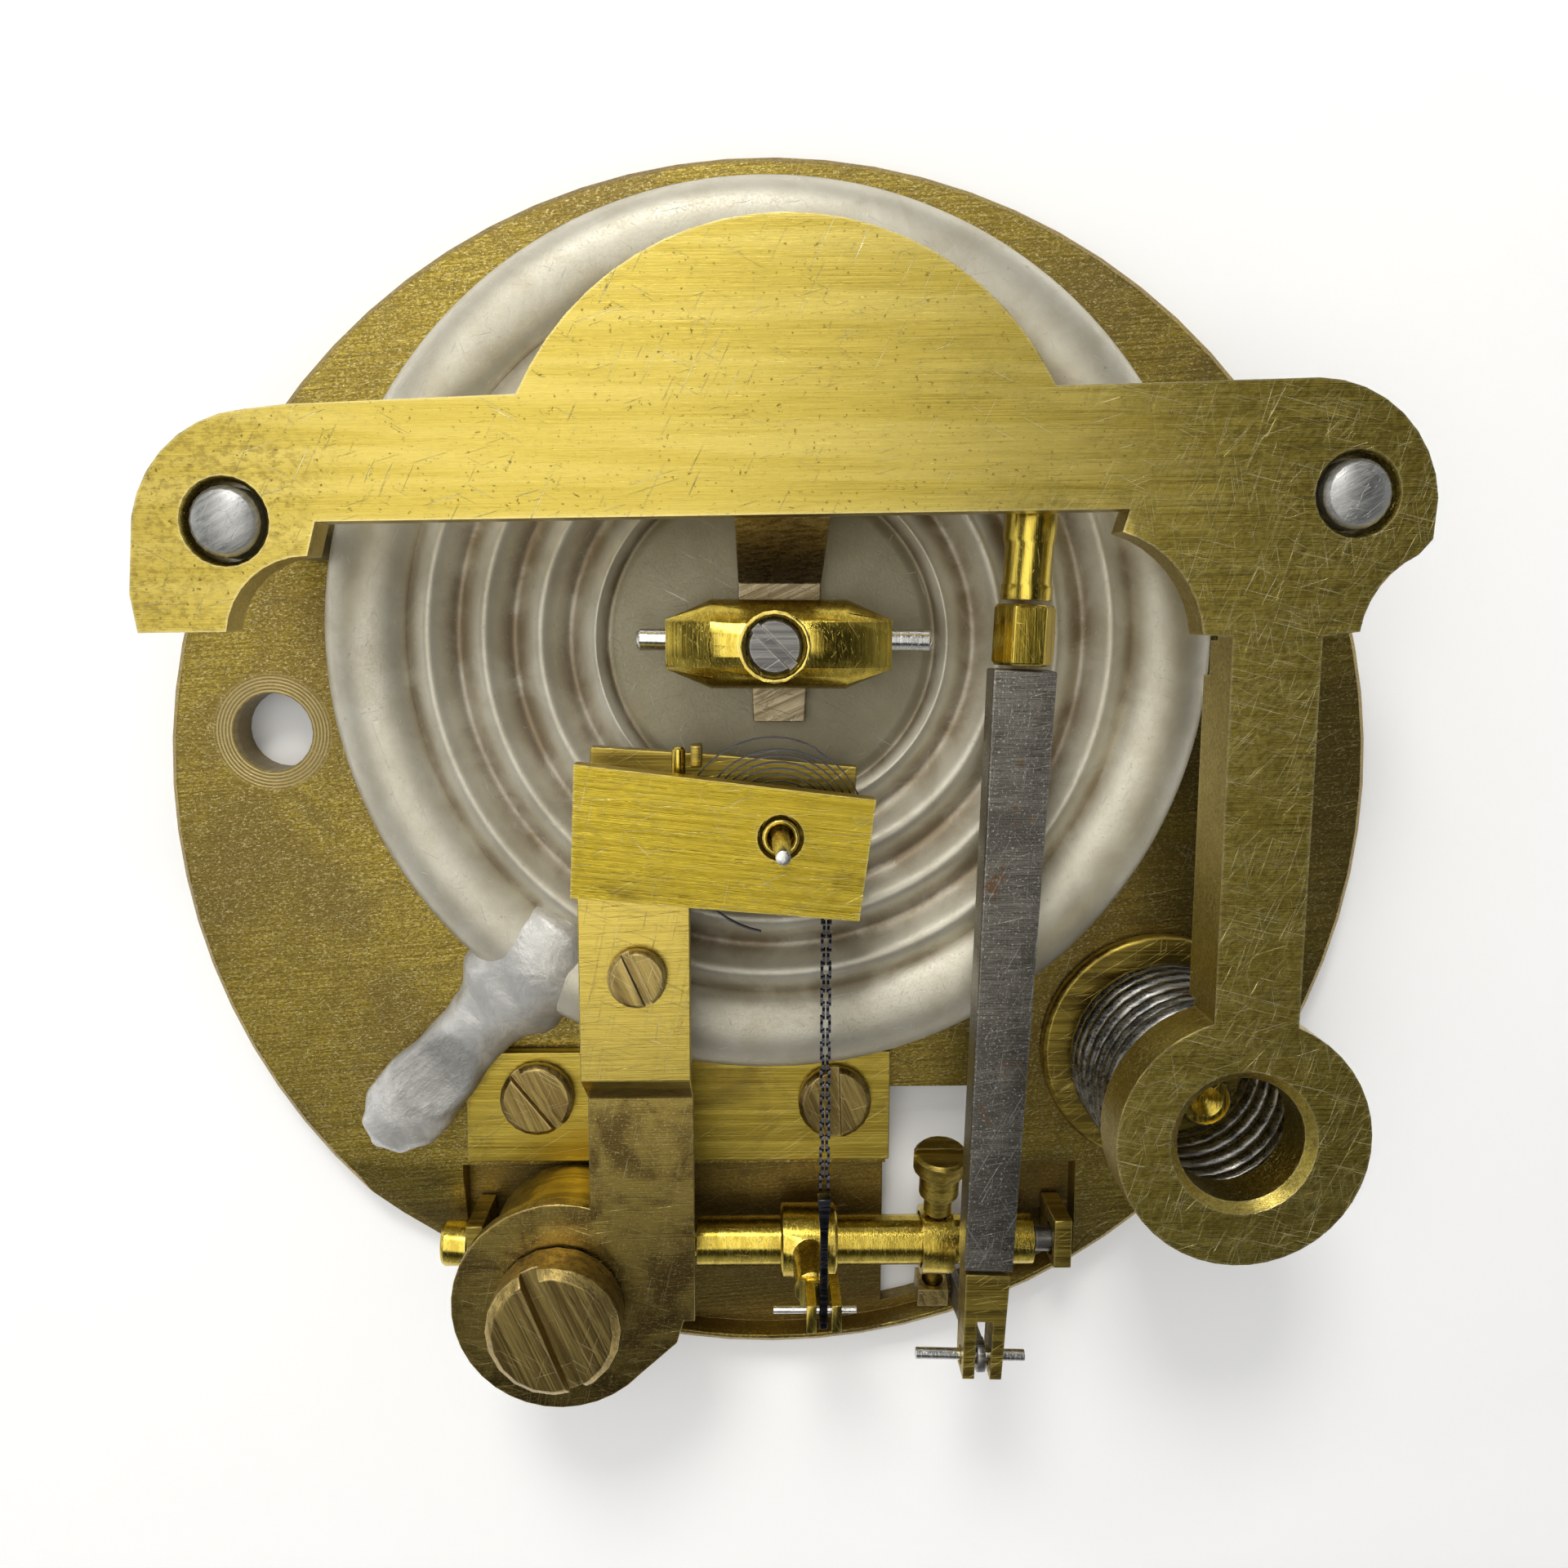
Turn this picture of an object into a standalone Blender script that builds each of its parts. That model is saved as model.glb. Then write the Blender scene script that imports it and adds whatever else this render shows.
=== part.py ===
"""Movement of a Vidie-pattern aneroid barometer, dial, hand and case removed.

The base plate lies flat with its underside on the ground plane.  +Z points from the
plate towards the dial, +Y from the arbor's recess towards the corrugated capsule.
Heights inside the movement are measured from the top face of the plate: every piece
is parented to an empty that stands on that face.  Lengths are written in millimetres
and turned into metres when a mesh is made.
"""
import math

import bmesh
import bpy
from mathutils import Matrix, Vector

MM = 0.001
GAP = 0.3                       # clearance between pieces that touch

# Base plate
PLATE_R = 50.0
PLATE_T = 4.0
RIM_CHAMFER = 0.5
CASE_HOLE = (-41.4, 4.4)
CASE_HOLE_R = 3.25
RECESS_FLOOR = -2.4
RECESS_X = (-26.9, 26.4)
RECESS_TOP_Y = -33.2
RECESS_R = 49.2
WINDOW_X = (9.7, 21.6)
WINDOW_TOP_Y = -26.3
WINDOW_R = 48.3

# Cover bar over the recess
BAR_X = (-26.1, 9.85)
BAR_Y = (-32.3, -22.6)
BAR_Z = (0.3, 1.5)
BAR_SCREWS = (("left", (-20.0, -26.4)), ("right", (5.1, -26.8)))
BAR_SCREW_HEAD_R = 3.1

# Capsule
CAPSULE = (-0.4, 12.2)
CAPSULE_R = 34.9
SEAM_Z = 4.2
RIDGE_Z = 8.0
GROOVE_Z = 6.5
CENTRE_Z = 6.6
WAVE_PITCH = 4.3
WAVE_OUTER_R = 28.4
WAVE_INNER_R = 15.5
SHELL_T = 0.5

# Exhaust tail, from the capsule's rim over the plate
TAIL_START = (-21.5, -16.2)
TAIL_DEG = 229
TAIL_LENGTH = 14.8
TAIL_END_R = 3.4

# Principal lever and its fulcrum pins
LEVER_Z = (16.5, 19.5)
PIN_LEFT = (-37.0, 20.3)
PIN_RIGHT = (39.1, 22.5)
PIN_R = 2.4
DOME = (0.6, 20.4)
DOME_R = 19.9

# Main spring under the lever's ring
RIGHT_ARM_X = (31.0, 37.1)
RING = (33.6, -23.5)
RING_R = 9.3
RING_BORE_R = 4.7
RING_CHAMFER = 0.7
ARM_LOW_Z = 15.1                # underside of the right arm and ring, thicker than the rest
RIB_LOW_Z = 13.9                # underside of the rib along the arm's inner side
RIB_X = (31.0, 34.5)
RIB_Y = (-14.0, 10.0)
SPRING = (32.9, -22.7)
SPRING_SEAT_R = 10.0
COIL_R = 7.3
WIRE_R = 0.8
COIL_TURNS = 5
CLOSED_ENDS = 0.095             # how far the pitch tightens towards both ends

# Socket on the middle of the capsule
BARREL_Y = 12.06
BARREL_Z = 11.7
BARREL_R = 3.3
SOCKET = (-0.3, 11.95)

# Compensating arm: a line from the lever's edge to the clevis
ARM_START = (18.1, 21.2, 13.6)
ARM_SKEW_DEG = -2.0
ARM_T = 3.0
ARM_END = -56.7                 # where the steel bar stops and the clevis follows
CLEVIS_END = -65.5
CLEVIS_PIN_ALONG = -64.3        # along the arm's own Y, from ARM_START

# Arbor in the recess
ARBOR_Y = -39.6
ARBOR_Z = 1.4
ARBOR_R = 2.1
ARBOR_X = (-22.2, 22.3)
FORK_X = 3.65
FORK_HEAD_HALF = 1.35
CHAIN_ARM_SHIFT = -0.7          # the collar stands this far to the left of the fork
FORK_ARM = 11.5                 # from the arbor's axis to the fork pin
REGULATING_X = 14.0
REGULATING_TILT_DEG = 16.0
CROSS_BORE_R = 0.95             # through the arbor and its collar, for the regulating screw
LINK_RADIUS = 5.4               # from the arbor's axis to the link pin
LINK_X = 15.85
LINK_PLAY = 0.3                 # the link's lower eye stands this far inwards of its pin at rest

# Cock, with the pointer arbor between its plates
POINTER = (0.1, -1.3)
FOOT = (-17.0, -39.7)
FOOT_R = 8.5
PILLAR_R = 7.1
STRAP_X = (-14.5, -6.4)
STRAP_T = 1.2
STRAP_LOW = 10.8
STRAP_HIGH = 15.0
LOWER_PLATE_Z = (10.0, 11.4)
UPPER_PLATE_Z = (16.5, 18.3)
COCK_SCREW = (-10.2, -11.8)
DRUM_R = 2.8
CHAIN_Z = ARBOR_Z + FORK_ARM
CHAIN_W = 0.9
HAIRSPRING_TURNS = 6

BRASS = ((0.73, 0.55, 0.16), 0.32)
BRASS_AGED = ((0.55, 0.41, 0.13), 0.38)
BRASS_DARK = ((0.36, 0.26, 0.09), 0.42)
NICKEL_SILVER = ((0.66, 0.63, 0.54), 0.45)
SOLDER = ((0.62, 0.62, 0.60), 0.50)
STEEL = ((0.42, 0.42, 0.42), 0.40)
STEEL_BRIGHT = ((0.68, 0.68, 0.68), 0.25)
STEEL_BLUED = ((0.05, 0.06, 0.09), 0.30)


def clear_scene():
    for old in list(bpy.data.objects):
        bpy.data.objects.remove(old, do_unlink=True)


def metal(name, look):
    colour, roughness = look
    material = bpy.data.materials.new(name + "_metal")
    material.use_nodes = True
    shader = material.node_tree.nodes["Principled BSDF"]
    shader.inputs["Base Color"].default_value = (*colour, 1.0)
    shader.inputs["Metallic"].default_value = 1.0
    shader.inputs["Roughness"].default_value = roughness
    return material


def empty(name, place, parent=None, turn_z=0.0):
    guide = bpy.data.objects.new(name, None)
    bpy.context.scene.collection.objects.link(guide)
    guide.parent = parent
    guide.location = Vector(place) * MM
    guide.rotation_euler = (0.0, 0.0, turn_z)
    return guide


def piece(name, bm, look, parent, place=(0, 0, 0), turn=(0, 0, 0)):
    """Turn a bmesh in millimetres into an object, with its faces pointing out."""
    bmesh.ops.recalc_face_normals(bm, faces=bm.faces)
    if bm.calc_volume(signed=True) < 0:
        bmesh.ops.reverse_faces(bm, faces=bm.faces)
    bmesh.ops.scale(bm, vec=(MM, MM, MM), verts=bm.verts)
    mesh = bpy.data.meshes.new(name)
    bm.to_mesh(mesh)
    bm.free()
    mesh.shade_smooth()
    mesh.set_sharp_from_angle(angle=math.radians(32))
    obj = bpy.data.objects.new(name, mesh)
    bpy.context.scene.collection.objects.link(obj)
    obj.parent = parent
    obj.location = Vector(place) * MM
    obj.rotation_euler = turn
    if look is not None:
        mesh.materials.append(metal(name, look))
    return obj


def arc(centre, radius, start, end, steps):
    """Points on a circle from start to end degrees, both included."""
    points = []
    for i in range(steps + 1):
        angle = math.radians(start + (end - start) * i / steps)
        points.append((centre[0] + radius * math.cos(angle), centre[1] + radius * math.sin(angle)))
    return points


def prism(outline, low, high):
    bm = bmesh.new()
    face = bm.faces.new([bm.verts.new((x, y, low)) for x, y in outline])
    grown = bmesh.ops.extrude_face_region(bm, geom=[face])
    moved = [v for v in grown["geom"] if isinstance(v, bmesh.types.BMVert)]
    bmesh.ops.translate(bm, vec=(0, 0, high - low), verts=moved)
    return bm


def block(x, y, z):
    return prism([(x[0], y[0]), (x[1], y[0]), (x[1], y[1]), (x[0], y[1])], z[0], z[1])


def turned(profile, segments=24, ring=False):
    """A solid of revolution about Z, with a flat face on its first and last circle.
    With ring set, the profile is a closed section and the solid has a hole through it."""
    bm = bmesh.new()
    rings = []
    for radius, z in profile:
        circle = arc((0, 0), radius, 0, 360, segments)[:-1]
        rings.append([bm.verts.new((x, y, z)) for x, y in circle])
    pairs = list(zip(rings, rings[1:]))
    if ring:
        pairs.append((rings[-1], rings[0]))
    else:
        bm.faces.new(rings[0])
        bm.faces.new(rings[-1])
    for one, two in pairs:
        for i in range(segments):
            j = (i + 1) % segments
            bm.faces.new((one[i], one[j], two[j], two[i]))
    return bm


def rod(radius, low, high, segments=20, chamfer=0.0):
    if chamfer:
        return turned([(radius - chamfer, low), (radius, low + chamfer),
                       (radius, high - chamfer), (radius - chamfer, high)], segments)
    return turned([(radius, low), (radius, high)], segments)


def along_x(bm):
    """Lay a shape that stands on Z along X."""
    bm.transform(Matrix.Rotation(math.radians(90), 4, "Y"))
    return bm


def along_y(bm):
    """Lay a shape that stands on Z along Y."""
    bm.transform(Matrix.Rotation(math.radians(-90), 4, "X"))
    return bm


def on_edge(bm):
    """Stand a flat outline up: its X becomes Y, its Y becomes Z, its thickness lies along X."""
    bm.transform(Matrix(((0, 0, 1, 0), (1, 0, 0, 0), (0, 1, 0, 0), (0, 0, 0, 1))))
    return bm


def boolean(obj, bm, operation, label, parent, place=(0, 0, 0), turn=(0, 0, 0)):
    tool = piece("tool_" + label, bm, None, parent, place, turn)
    tool.hide_render = True
    tool.display_type = "WIRE"
    step = obj.modifiers.new(label, "BOOLEAN")
    step.operation = operation
    step.solver = "EXACT"
    step.object = tool
    return tool


def cut(obj, bm, label, parent, place=(0, 0, 0), turn=(0, 0, 0)):
    return boolean(obj, bm, "DIFFERENCE", label, parent, place, turn)


def join(obj, bm, label, parent, place=(0, 0, 0), turn=(0, 0, 0)):
    return boolean(obj, bm, "UNION", label, parent, place, turn)


def hole(obj, centre, radius, low, high, label, parent, segments=16):
    return cut(obj, rod(radius, low, high, segments), label, parent, (*centre, 0))


def slotted_screw(name, look, parent, centre, head_r, head_z, shank_r, tip_z,
                  slot_deg, slot_w=0.9, slot_depth=0.7):
    """A cheese-head screw standing on Z: head, shank and a slot at slot_deg."""
    low, high = head_z
    bevel = 0.12 * head_r
    profile = [(shank_r - 0.2, tip_z), (shank_r, tip_z + 0.3), (shank_r, low),
               (head_r, low), (head_r, high - bevel), (head_r - bevel, high)]
    screw = piece(name, turned(profile, 20), look, parent, (*centre, 0))
    slot = block((-head_r * 1.2, head_r * 1.2), (-slot_w / 2, slot_w / 2), (high - slot_depth, high + 1))
    cut(screw, slot, name + "_slot", parent, (*centre, 0), (0, 0, math.radians(slot_deg)))
    return screw


def wave_height(radius):
    """Height of the upper diaphragm's outer surface at a distance from its centre."""
    mean = (RIDGE_Z + GROOVE_Z) / 2
    swing = (RIDGE_Z - GROOVE_Z) / 2
    if radius <= WAVE_INNER_R - WAVE_PITCH / 2:
        return CENTRE_Z
    phase = 2 * math.pi * (WAVE_OUTER_R - radius) / WAVE_PITCH
    return mean - swing * math.cos(phase)


def diaphragm_section(steps_per_wave):
    """Outer surface of one diaphragm from its flat middle to its rim, as radius and height."""
    points = [(WAVE_INNER_R - WAVE_PITCH / 2 - 0.8, CENTRE_Z)]
    span = WAVE_OUTER_R - WAVE_INNER_R + WAVE_PITCH / 2
    steps = round(steps_per_wave * span / WAVE_PITCH)
    for i in range(steps + 1):
        radius = WAVE_OUTER_R - span + span * i / steps
        points.append((radius, max(wave_height(radius), CENTRE_Z - 0.1)))
    outer = 34.2
    middle = (WAVE_OUTER_R + outer) / 2
    for angle in (125, 90, 55, 20):
        x = middle + (outer - middle) * math.cos(math.radians(angle))
        z = SEAM_Z + 0.8 + (RIDGE_Z - SEAM_Z - 0.8) * math.sin(math.radians(angle))
        points.append((x, z))
    points.append((CAPSULE_R, SEAM_Z + 0.7))
    points.append((CAPSULE_R, SEAM_Z + GAP / 2))
    return points


def shell(section):
    """A closed thin shell: the outer surface, and the same line one thickness further in."""
    inner = [(min(r, CAPSULE_R - 1.2), z - SHELL_T) for r, z in section[:-2]]
    inner = inner[:-1] + [(CAPSULE_R - 1.2, SEAM_Z + GAP / 2)]
    return turned(section + inner[::-1], 26)


def mirrored(section):
    """The lower diaphragm is the upper one turned over about the seam's plane."""
    return [(r, 2 * SEAM_Z - z) for r, z in section]


def make_base_plate(root):
    profile = [(PLATE_R - 0.6, -PLATE_T), (PLATE_R, -PLATE_T + 0.6),
               (PLATE_R, -RIM_CHAMFER), (PLATE_R - RIM_CHAMFER, 0)]
    plate = piece("base_plate", turned(profile, 80), BRASS_AGED, root)
    hole(plate, CASE_HOLE, CASE_HOLE_R, -PLATE_T - 1, 1, "case_hole", root, 24)
    left, right = RECESS_X
    reach = math.degrees(math.asin(left / RECESS_R))
    reach_right = math.degrees(math.asin(right / RECESS_R))
    rim = arc((0, 0), RECESS_R, -90 + reach_right, -90 + reach, 20)
    cut(plate, prism([(left, RECESS_TOP_Y), (right, RECESS_TOP_Y)] + rim, RECESS_FLOOR, 2), "recess", root)
    start = -math.degrees(math.acos(WINDOW_X[0] / WINDOW_R))
    end = -math.degrees(math.acos(WINDOW_X[1] / WINDOW_R))
    window = [(WINDOW_X[1], WINDOW_TOP_Y), (WINDOW_X[0], WINDOW_TOP_Y)] + arc((0, 0), WINDOW_R, start, end, 6)
    cut(plate, prism(window, -PLATE_T - 1, 1), "window", root)
    filed = block((-42, left + 0.3), (-14, 0), (0, 8))
    cut(plate, filed, "filed_corner", root, (0, -34.2, 0), (math.radians(16.8), 0, 0))
    hole(plate, SPRING, 2.5, -PLATE_T - 1, 1, "spring_post_hole", root)
    hole(plate, CAPSULE, 2.2, -PLATE_T - 1, 1, "capsule_stud_hole", root)
    hole(plate, CAPSULE, 5.0, -PLATE_T - 1, -1.7, "capsule_nut_sink", root)
    for label, centre in (("left", PIN_LEFT), ("right", PIN_RIGHT)):
        hole(plate, centre, 1.6, -PLATE_T - 1, 1, "fulcrum_hole_" + label, root, 16)
    for label, centre in BAR_SCREWS:
        hole(plate, centre, 1.5, -PLATE_T - 1, 1, "bar_screw_hole_" + label, root, 16)


def make_cover_bar(root):
    bar = piece("cover_bar", block(BAR_X, BAR_Y, BAR_Z), BRASS, root)
    for (label, centre), slot in zip(BAR_SCREWS, (-52, 92)):
        hole(bar, centre, 1.5, BAR_Z[0] - 1, BAR_Z[1] + 1, "bar_hole_" + label, root, 16)
        slotted_screw("bar_screw_" + label, BRASS_DARK, root, centre,
                      BAR_SCREW_HEAD_R, (1.8, 2.9), 1.2, -3.6, slot)


def make_fulcrum_pins(root):
    shoulder = LEVER_Z[0] - GAP
    for label, centre in (("left", PIN_LEFT), ("right", PIN_RIGHT)):
        profile = [(1.3, -3.7), (1.3, GAP), (2.0, GAP), (2.0, 12.6), (3.3, 13.4),
                   (3.3, shoulder), (PIN_R, shoulder), (PIN_R, 19.3), (2.1, 19.75), (1.4, 20.0), (0.5, 20.15)]
        piece("fulcrum_pin_" + label, turned(profile, 20), STEEL_BRIGHT, root, (*centre, 0))


def make_capsule(root):
    upper = diaphragm_section(3)
    lower = mirrored(diaphragm_section(2))
    piece("capsule_upper", shell(upper), NICKEL_SILVER, root, (*CAPSULE, 0))
    inner = [(min(r, CAPSULE_R - 1.2), z + SHELL_T) for r, z in lower[:-2]]
    inner = inner[:-1] + [(CAPSULE_R - 1.2, SEAM_Z - GAP / 2)]
    stud = [(1.5, -3.5), (1.8, -3.2), (1.8, lower[0][1])]
    piece("capsule_lower", turned(stud + lower + inner[::-1], 24), NICKEL_SILVER, root, (*CAPSULE, 0))
    nut = piece("capsule_nut", rod(4.4, -3.7, -2.0, 6), BRASS_DARK, root, (*CAPSULE, 0))
    hole(nut, CAPSULE, 2.1, -5, 0, "capsule_nut_bore", root)


def make_exhaust_tail(root):
    """The pinched-off tube through which the capsule was emptied, covered in solder."""
    axis = math.radians(TAIL_DEG)
    along = Vector((math.cos(axis), math.sin(axis)))
    across = Vector((-along.y, along.x))
    start = Vector(TAIL_START)
    left = []
    right = []
    for distance, width_left, width_right in ((-4.0, 6.5, 5.6), (1.0, 4.6, 4.4), (4.0, 3.4, 3.2),
                                              (9.0, 3.3, 3.1), (TAIL_LENGTH, TAIL_END_R, TAIL_END_R)):
        base = start + along * distance
        left.append(tuple(base - across * width_left))
        right.append(tuple(base + across * width_right))
    end = start + along * TAIL_LENGTH
    tip = arc((end.x, end.y), TAIL_END_R, TAIL_DEG - 90, TAIL_DEG + 90, 10)[1:-1]
    bm = prism(left + tip + right[::-1], 1.9, 5.2)
    edges = [e for e in bm.edges if abs(e.verts[0].co.z - e.verts[1].co.z) < 1e-6]
    bmesh.ops.bevel(bm, geom=edges, offset=0.9, segments=2, affect="EDGES", profile=0.6)
    tail = piece("exhaust_tail", bm, SOLDER, root)
    cut(tail, rod(CAPSULE_R + GAP, -1, 12, 60), "tail_root", root, (*CAPSULE, 0))


def ring_outline():
    """The ring's outer arc, from one side of the right arm round to the other."""
    join_left = math.degrees(math.acos((RIGHT_ARM_X[0] - RING[0]) / RING_R))
    join_right = math.degrees(math.acos((RIGHT_ARM_X[1] - RING[0]) / RING_R))
    return arc(RING, RING_R, join_left, 360 + join_right, 40)


def lever_outline():
    points = [(-43.1, 12.9)]
    points += arc((-31.6, 12.4), 5.65, 174, 90, 8)
    points += [(-31.0, 20.3), (23.6, 21.4)]
    points += arc((20.9, 12.1), 8.1, 74, 6, 8)
    points += [(RIGHT_ARM_X[0], 12.9)]
    points += ring_outline()
    points += [(RIGHT_ARM_X[1] + 0.1, 12.9)]
    points += arc((46.4, 12.4), 6.7, 173, 116, 6)
    points += [(44.4, 19.5)]
    points += arc((36.0, 21.5), 8.6, 5, 90, 8)
    points += arc(DOME, DOME_R, 27, 155.5, 22)
    points += [(-32.6, 27.9)]
    points += arc((-34.6, 19.0), 8.6, 95, 180, 8)
    points += [(-43.5, 15.5)]
    return points


def make_lever(root):
    low, high = LEVER_Z
    plate = piece("lever_plate", prism(lever_outline(), low, high), BRASS, root)
    for label, centre in (("left", PIN_LEFT), ("right", PIN_RIGHT)):
        sink = turned([(PIN_R + 0.3, low - 1), (PIN_R + 0.3, high - 0.5), (PIN_R + 0.9, high + 0.5)], 24)
        cut(plate, sink, "fulcrum_sink_" + label, root, (*centre, 0))
    thick = [(RIGHT_ARM_X[0], 12.5)] + ring_outline() + [(RIGHT_ARM_X[1], 12.5)]
    join(plate, prism(thick, ARM_LOW_Z, low + 1), "thick_arm", root)
    join(plate, block(RIB_X, RIB_Y, (RIB_LOW_Z, low + 1)), "arm_rib", root)
    bore = [(RING_BORE_R, ARM_LOW_Z - 1), (RING_BORE_R, high - RING_CHAMFER),
            (RING_BORE_R + RING_CHAMFER + 1, high + 1)]
    cut(plate, turned(bore, 32), "ring_bore", root, (*RING, 0))


def make_tongue(root):
    """Steel strip under the lever that reaches down and hooks below the socket barrel."""
    top = LEVER_Z[0] - GAP
    thick = 0.8
    path = ((27.0, top, 3.4), (21.0, top, 3.35), (16.6, 8.1, 3.15),
            (9.3, 8.1, 3.05), (8.6, 8.1, 2.1), (6.0, 8.1, 2.0))
    bm = bmesh.new()
    rings = []
    centre = SOCKET[0] + 0.5
    for y, z, half in path:
        corners = ((-half, z), (half, z), (half, z - thick), (-half, z - thick))
        rings.append([bm.verts.new((centre + x, y, h)) for x, h in corners])
    bm.faces.new(rings[0])
    bm.faces.new(rings[-1])
    for one, two in zip(rings, rings[1:]):
        for i in range(4):
            j = (i + 1) % 4
            bm.faces.new((one[i], one[j], two[j], two[i]))
    tongue = piece("steel_tongue", bm, STEEL, root)
    hole(tongue, SOCKET, 2.3, 5, 9.5, "tongue_hole", root)


def filed_barrel():
    """Round bar along X whose ends are filed down to a narrow, flat-topped nose."""
    round_bar = (1.0, 1.0, 1.0)
    nose = (0.545, 0.394, 0.5)      # half width, top and bottom as shares of the radius
    bm = bmesh.new()
    rings = []
    for x, (side, top, bottom) in ((-8.2, nose), (-4.9, round_bar), (5.0, round_bar), (8.3, nose)):
        ring = []
        for i in range(24):
            turn = 2 * math.pi * i / 24
            y = BARREL_R * max(-side, min(side, math.cos(turn)))
            z = BARREL_R * max(-bottom, min(top, math.sin(turn)))
            ring.append(bm.verts.new((x, y, z)))
        rings.append(ring)
    bm.faces.new(rings[0])
    bm.faces.new(rings[-1])
    for one, two in zip(rings, rings[1:]):
        for i in range(24):
            j = (i + 1) % 24
            bm.faces.new((one[i], one[j], two[j], two[i]))
    return bm


def make_socket(root):
    piece("socket_stud", rod(1.9, CENTRE_Z + GAP, 8.1), BRASS_AGED, root, (*SOCKET, 0))
    barrel = piece("socket_barrel", filed_barrel(), BRASS, root, (0, BARREL_Y, BARREL_Z))
    join(barrel, rod(2.6, 12.0, 15.4, 20), "screw_boss", root, (*SOCKET, 0))
    seat = turned([(1.3, 7.0), (1.3, 13.4), (2.35, 13.4), (2.35, 17.0)], 20)
    cut(barrel, seat, "screw_seat", root, (*SOCKET, 0))
    slotted_screw("socket_screw", STEEL, root, SOCKET, 2.05, (13.7, 15.2), 1.0, 8.5, -45, 0.75, 0.6)
    pin_y = BARREL_Y + 0.3
    for label, low, high in (("left", -10.4, -5.2), ("right", 5.2, 11.4)):
        cut(barrel, along_x(rod(1.1, low, high, 16)), "pin_bore_" + label, root, (0, pin_y, BARREL_Z))
        shorter = GAP if label == "right" else 0.0
        longer = GAP if label == "left" else 0.0
        pin = along_x(rod(0.8, low + shorter, high - longer, 16, 0.25))
        piece("socket_pin_" + label, pin, STEEL_BRIGHT, root, (0, pin_y, BARREL_Z))


def make_compensating_arm(root):
    line = empty("arm_line", ARM_START, root, math.radians(ARM_SKEW_DEG))
    holder = piece("arm_block", block((14.0, 20.6), (21.9, 27.0), (11.6, LEVER_Z[0] - GAP)), BRASS_DARK, root)
    cut(holder, along_y(rod(1.6, -1, 4.5, 20)), "arm_block_bore", line)
    profile = [(1.85, -5.9), (1.85, -4.9), (1.75, -4.7), (1.75, -1.9),
               (1.9, -1.6), (1.9, 0.3), (1.3, 0.3), (1.3, 4.0)]
    piece("arm_ferrule", along_y(turned(profile, 20)), BRASS, line)
    hexagon = along_y(turned([(2.1, -10.6), (2.3, -10.3), (2.3, -6.5), (2.1, -6.2)], 6))
    piece("arm_hex", hexagon, BRASS, line)
    bar = prism([(-2.3, -10.9), (2.3, -10.9), (1.85, ARM_END), (-1.85, ARM_END)], -ARM_T / 2, ARM_T / 2)
    piece("compensating_arm", bar, STEEL, line)
    cheeks = [(-1.7, ARM_END - GAP), (-1.5, CLEVIS_END), (1.5, CLEVIS_END), (1.7, ARM_END - GAP)]
    clevis = piece("arm_clevis", prism(cheeks, -1.5, 1.5), BRASS_AGED, line)
    cut(clevis, block((-0.6, 0.6), (-70, -60.8), (-4, 4)), "clevis_slot", line)
    cut(clevis, along_x(rod(0.75, -4, 4, 16)), "clevis_bore", line, (0, CLEVIS_PIN_ALONG, 0))
    piece("clevis_pin", along_x(rod(0.45, -5.0, 3.5, 16)), STEEL_BRIGHT, line, (0, CLEVIS_PIN_ALONG, 0))


def link_ends():
    skew = math.radians(ARM_SKEW_DEG)
    upper_y = ARM_START[1] + CLEVIS_PIN_ALONG * math.cos(skew)
    tilt = math.radians(REGULATING_TILT_DEG)
    lower_y = ARBOR_Y - LINK_RADIUS * math.cos(tilt)
    lower_z = ARBOR_Z - LINK_RADIUS * math.sin(tilt)
    return (upper_y, ARM_START[2]), (lower_y, lower_z)


def make_link(root):
    """Flat link with a round eye on the clevis pin and a long eye on the nut's pin."""
    (upper_y, upper_z), (lower_y, lower_z) = link_ends()
    lower_y += LINK_PLAY
    span = math.hypot(upper_y - lower_y, upper_z - lower_z)
    lean = math.atan2(lower_y - upper_y, upper_z - lower_z)
    # Drawn hanging from the upper eye at the origin, then leant over.
    foot = arc((0, -span), 1.35, 165, 375, 12)
    head = arc((0, 0), 1.3, -30, 210, 12)
    place = (LINK_X, upper_y, upper_z)
    turn = (lean, 0, 0)
    link = piece("link", on_edge(prism(foot + head, -0.3, 0.3)), STEEL, root, place, turn)
    cut(link, along_x(rod(0.75, -1, 1, 12)), "link_upper_eye", root, place, turn)
    slot = arc((0.15, -span), 0.75, -90, 90, 6) + arc((-0.15, -span), 0.75, 90, 270, 6)
    cut(link, on_edge(prism(slot, -1, 1)), "link_lower_eye", root, place, turn)


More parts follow.
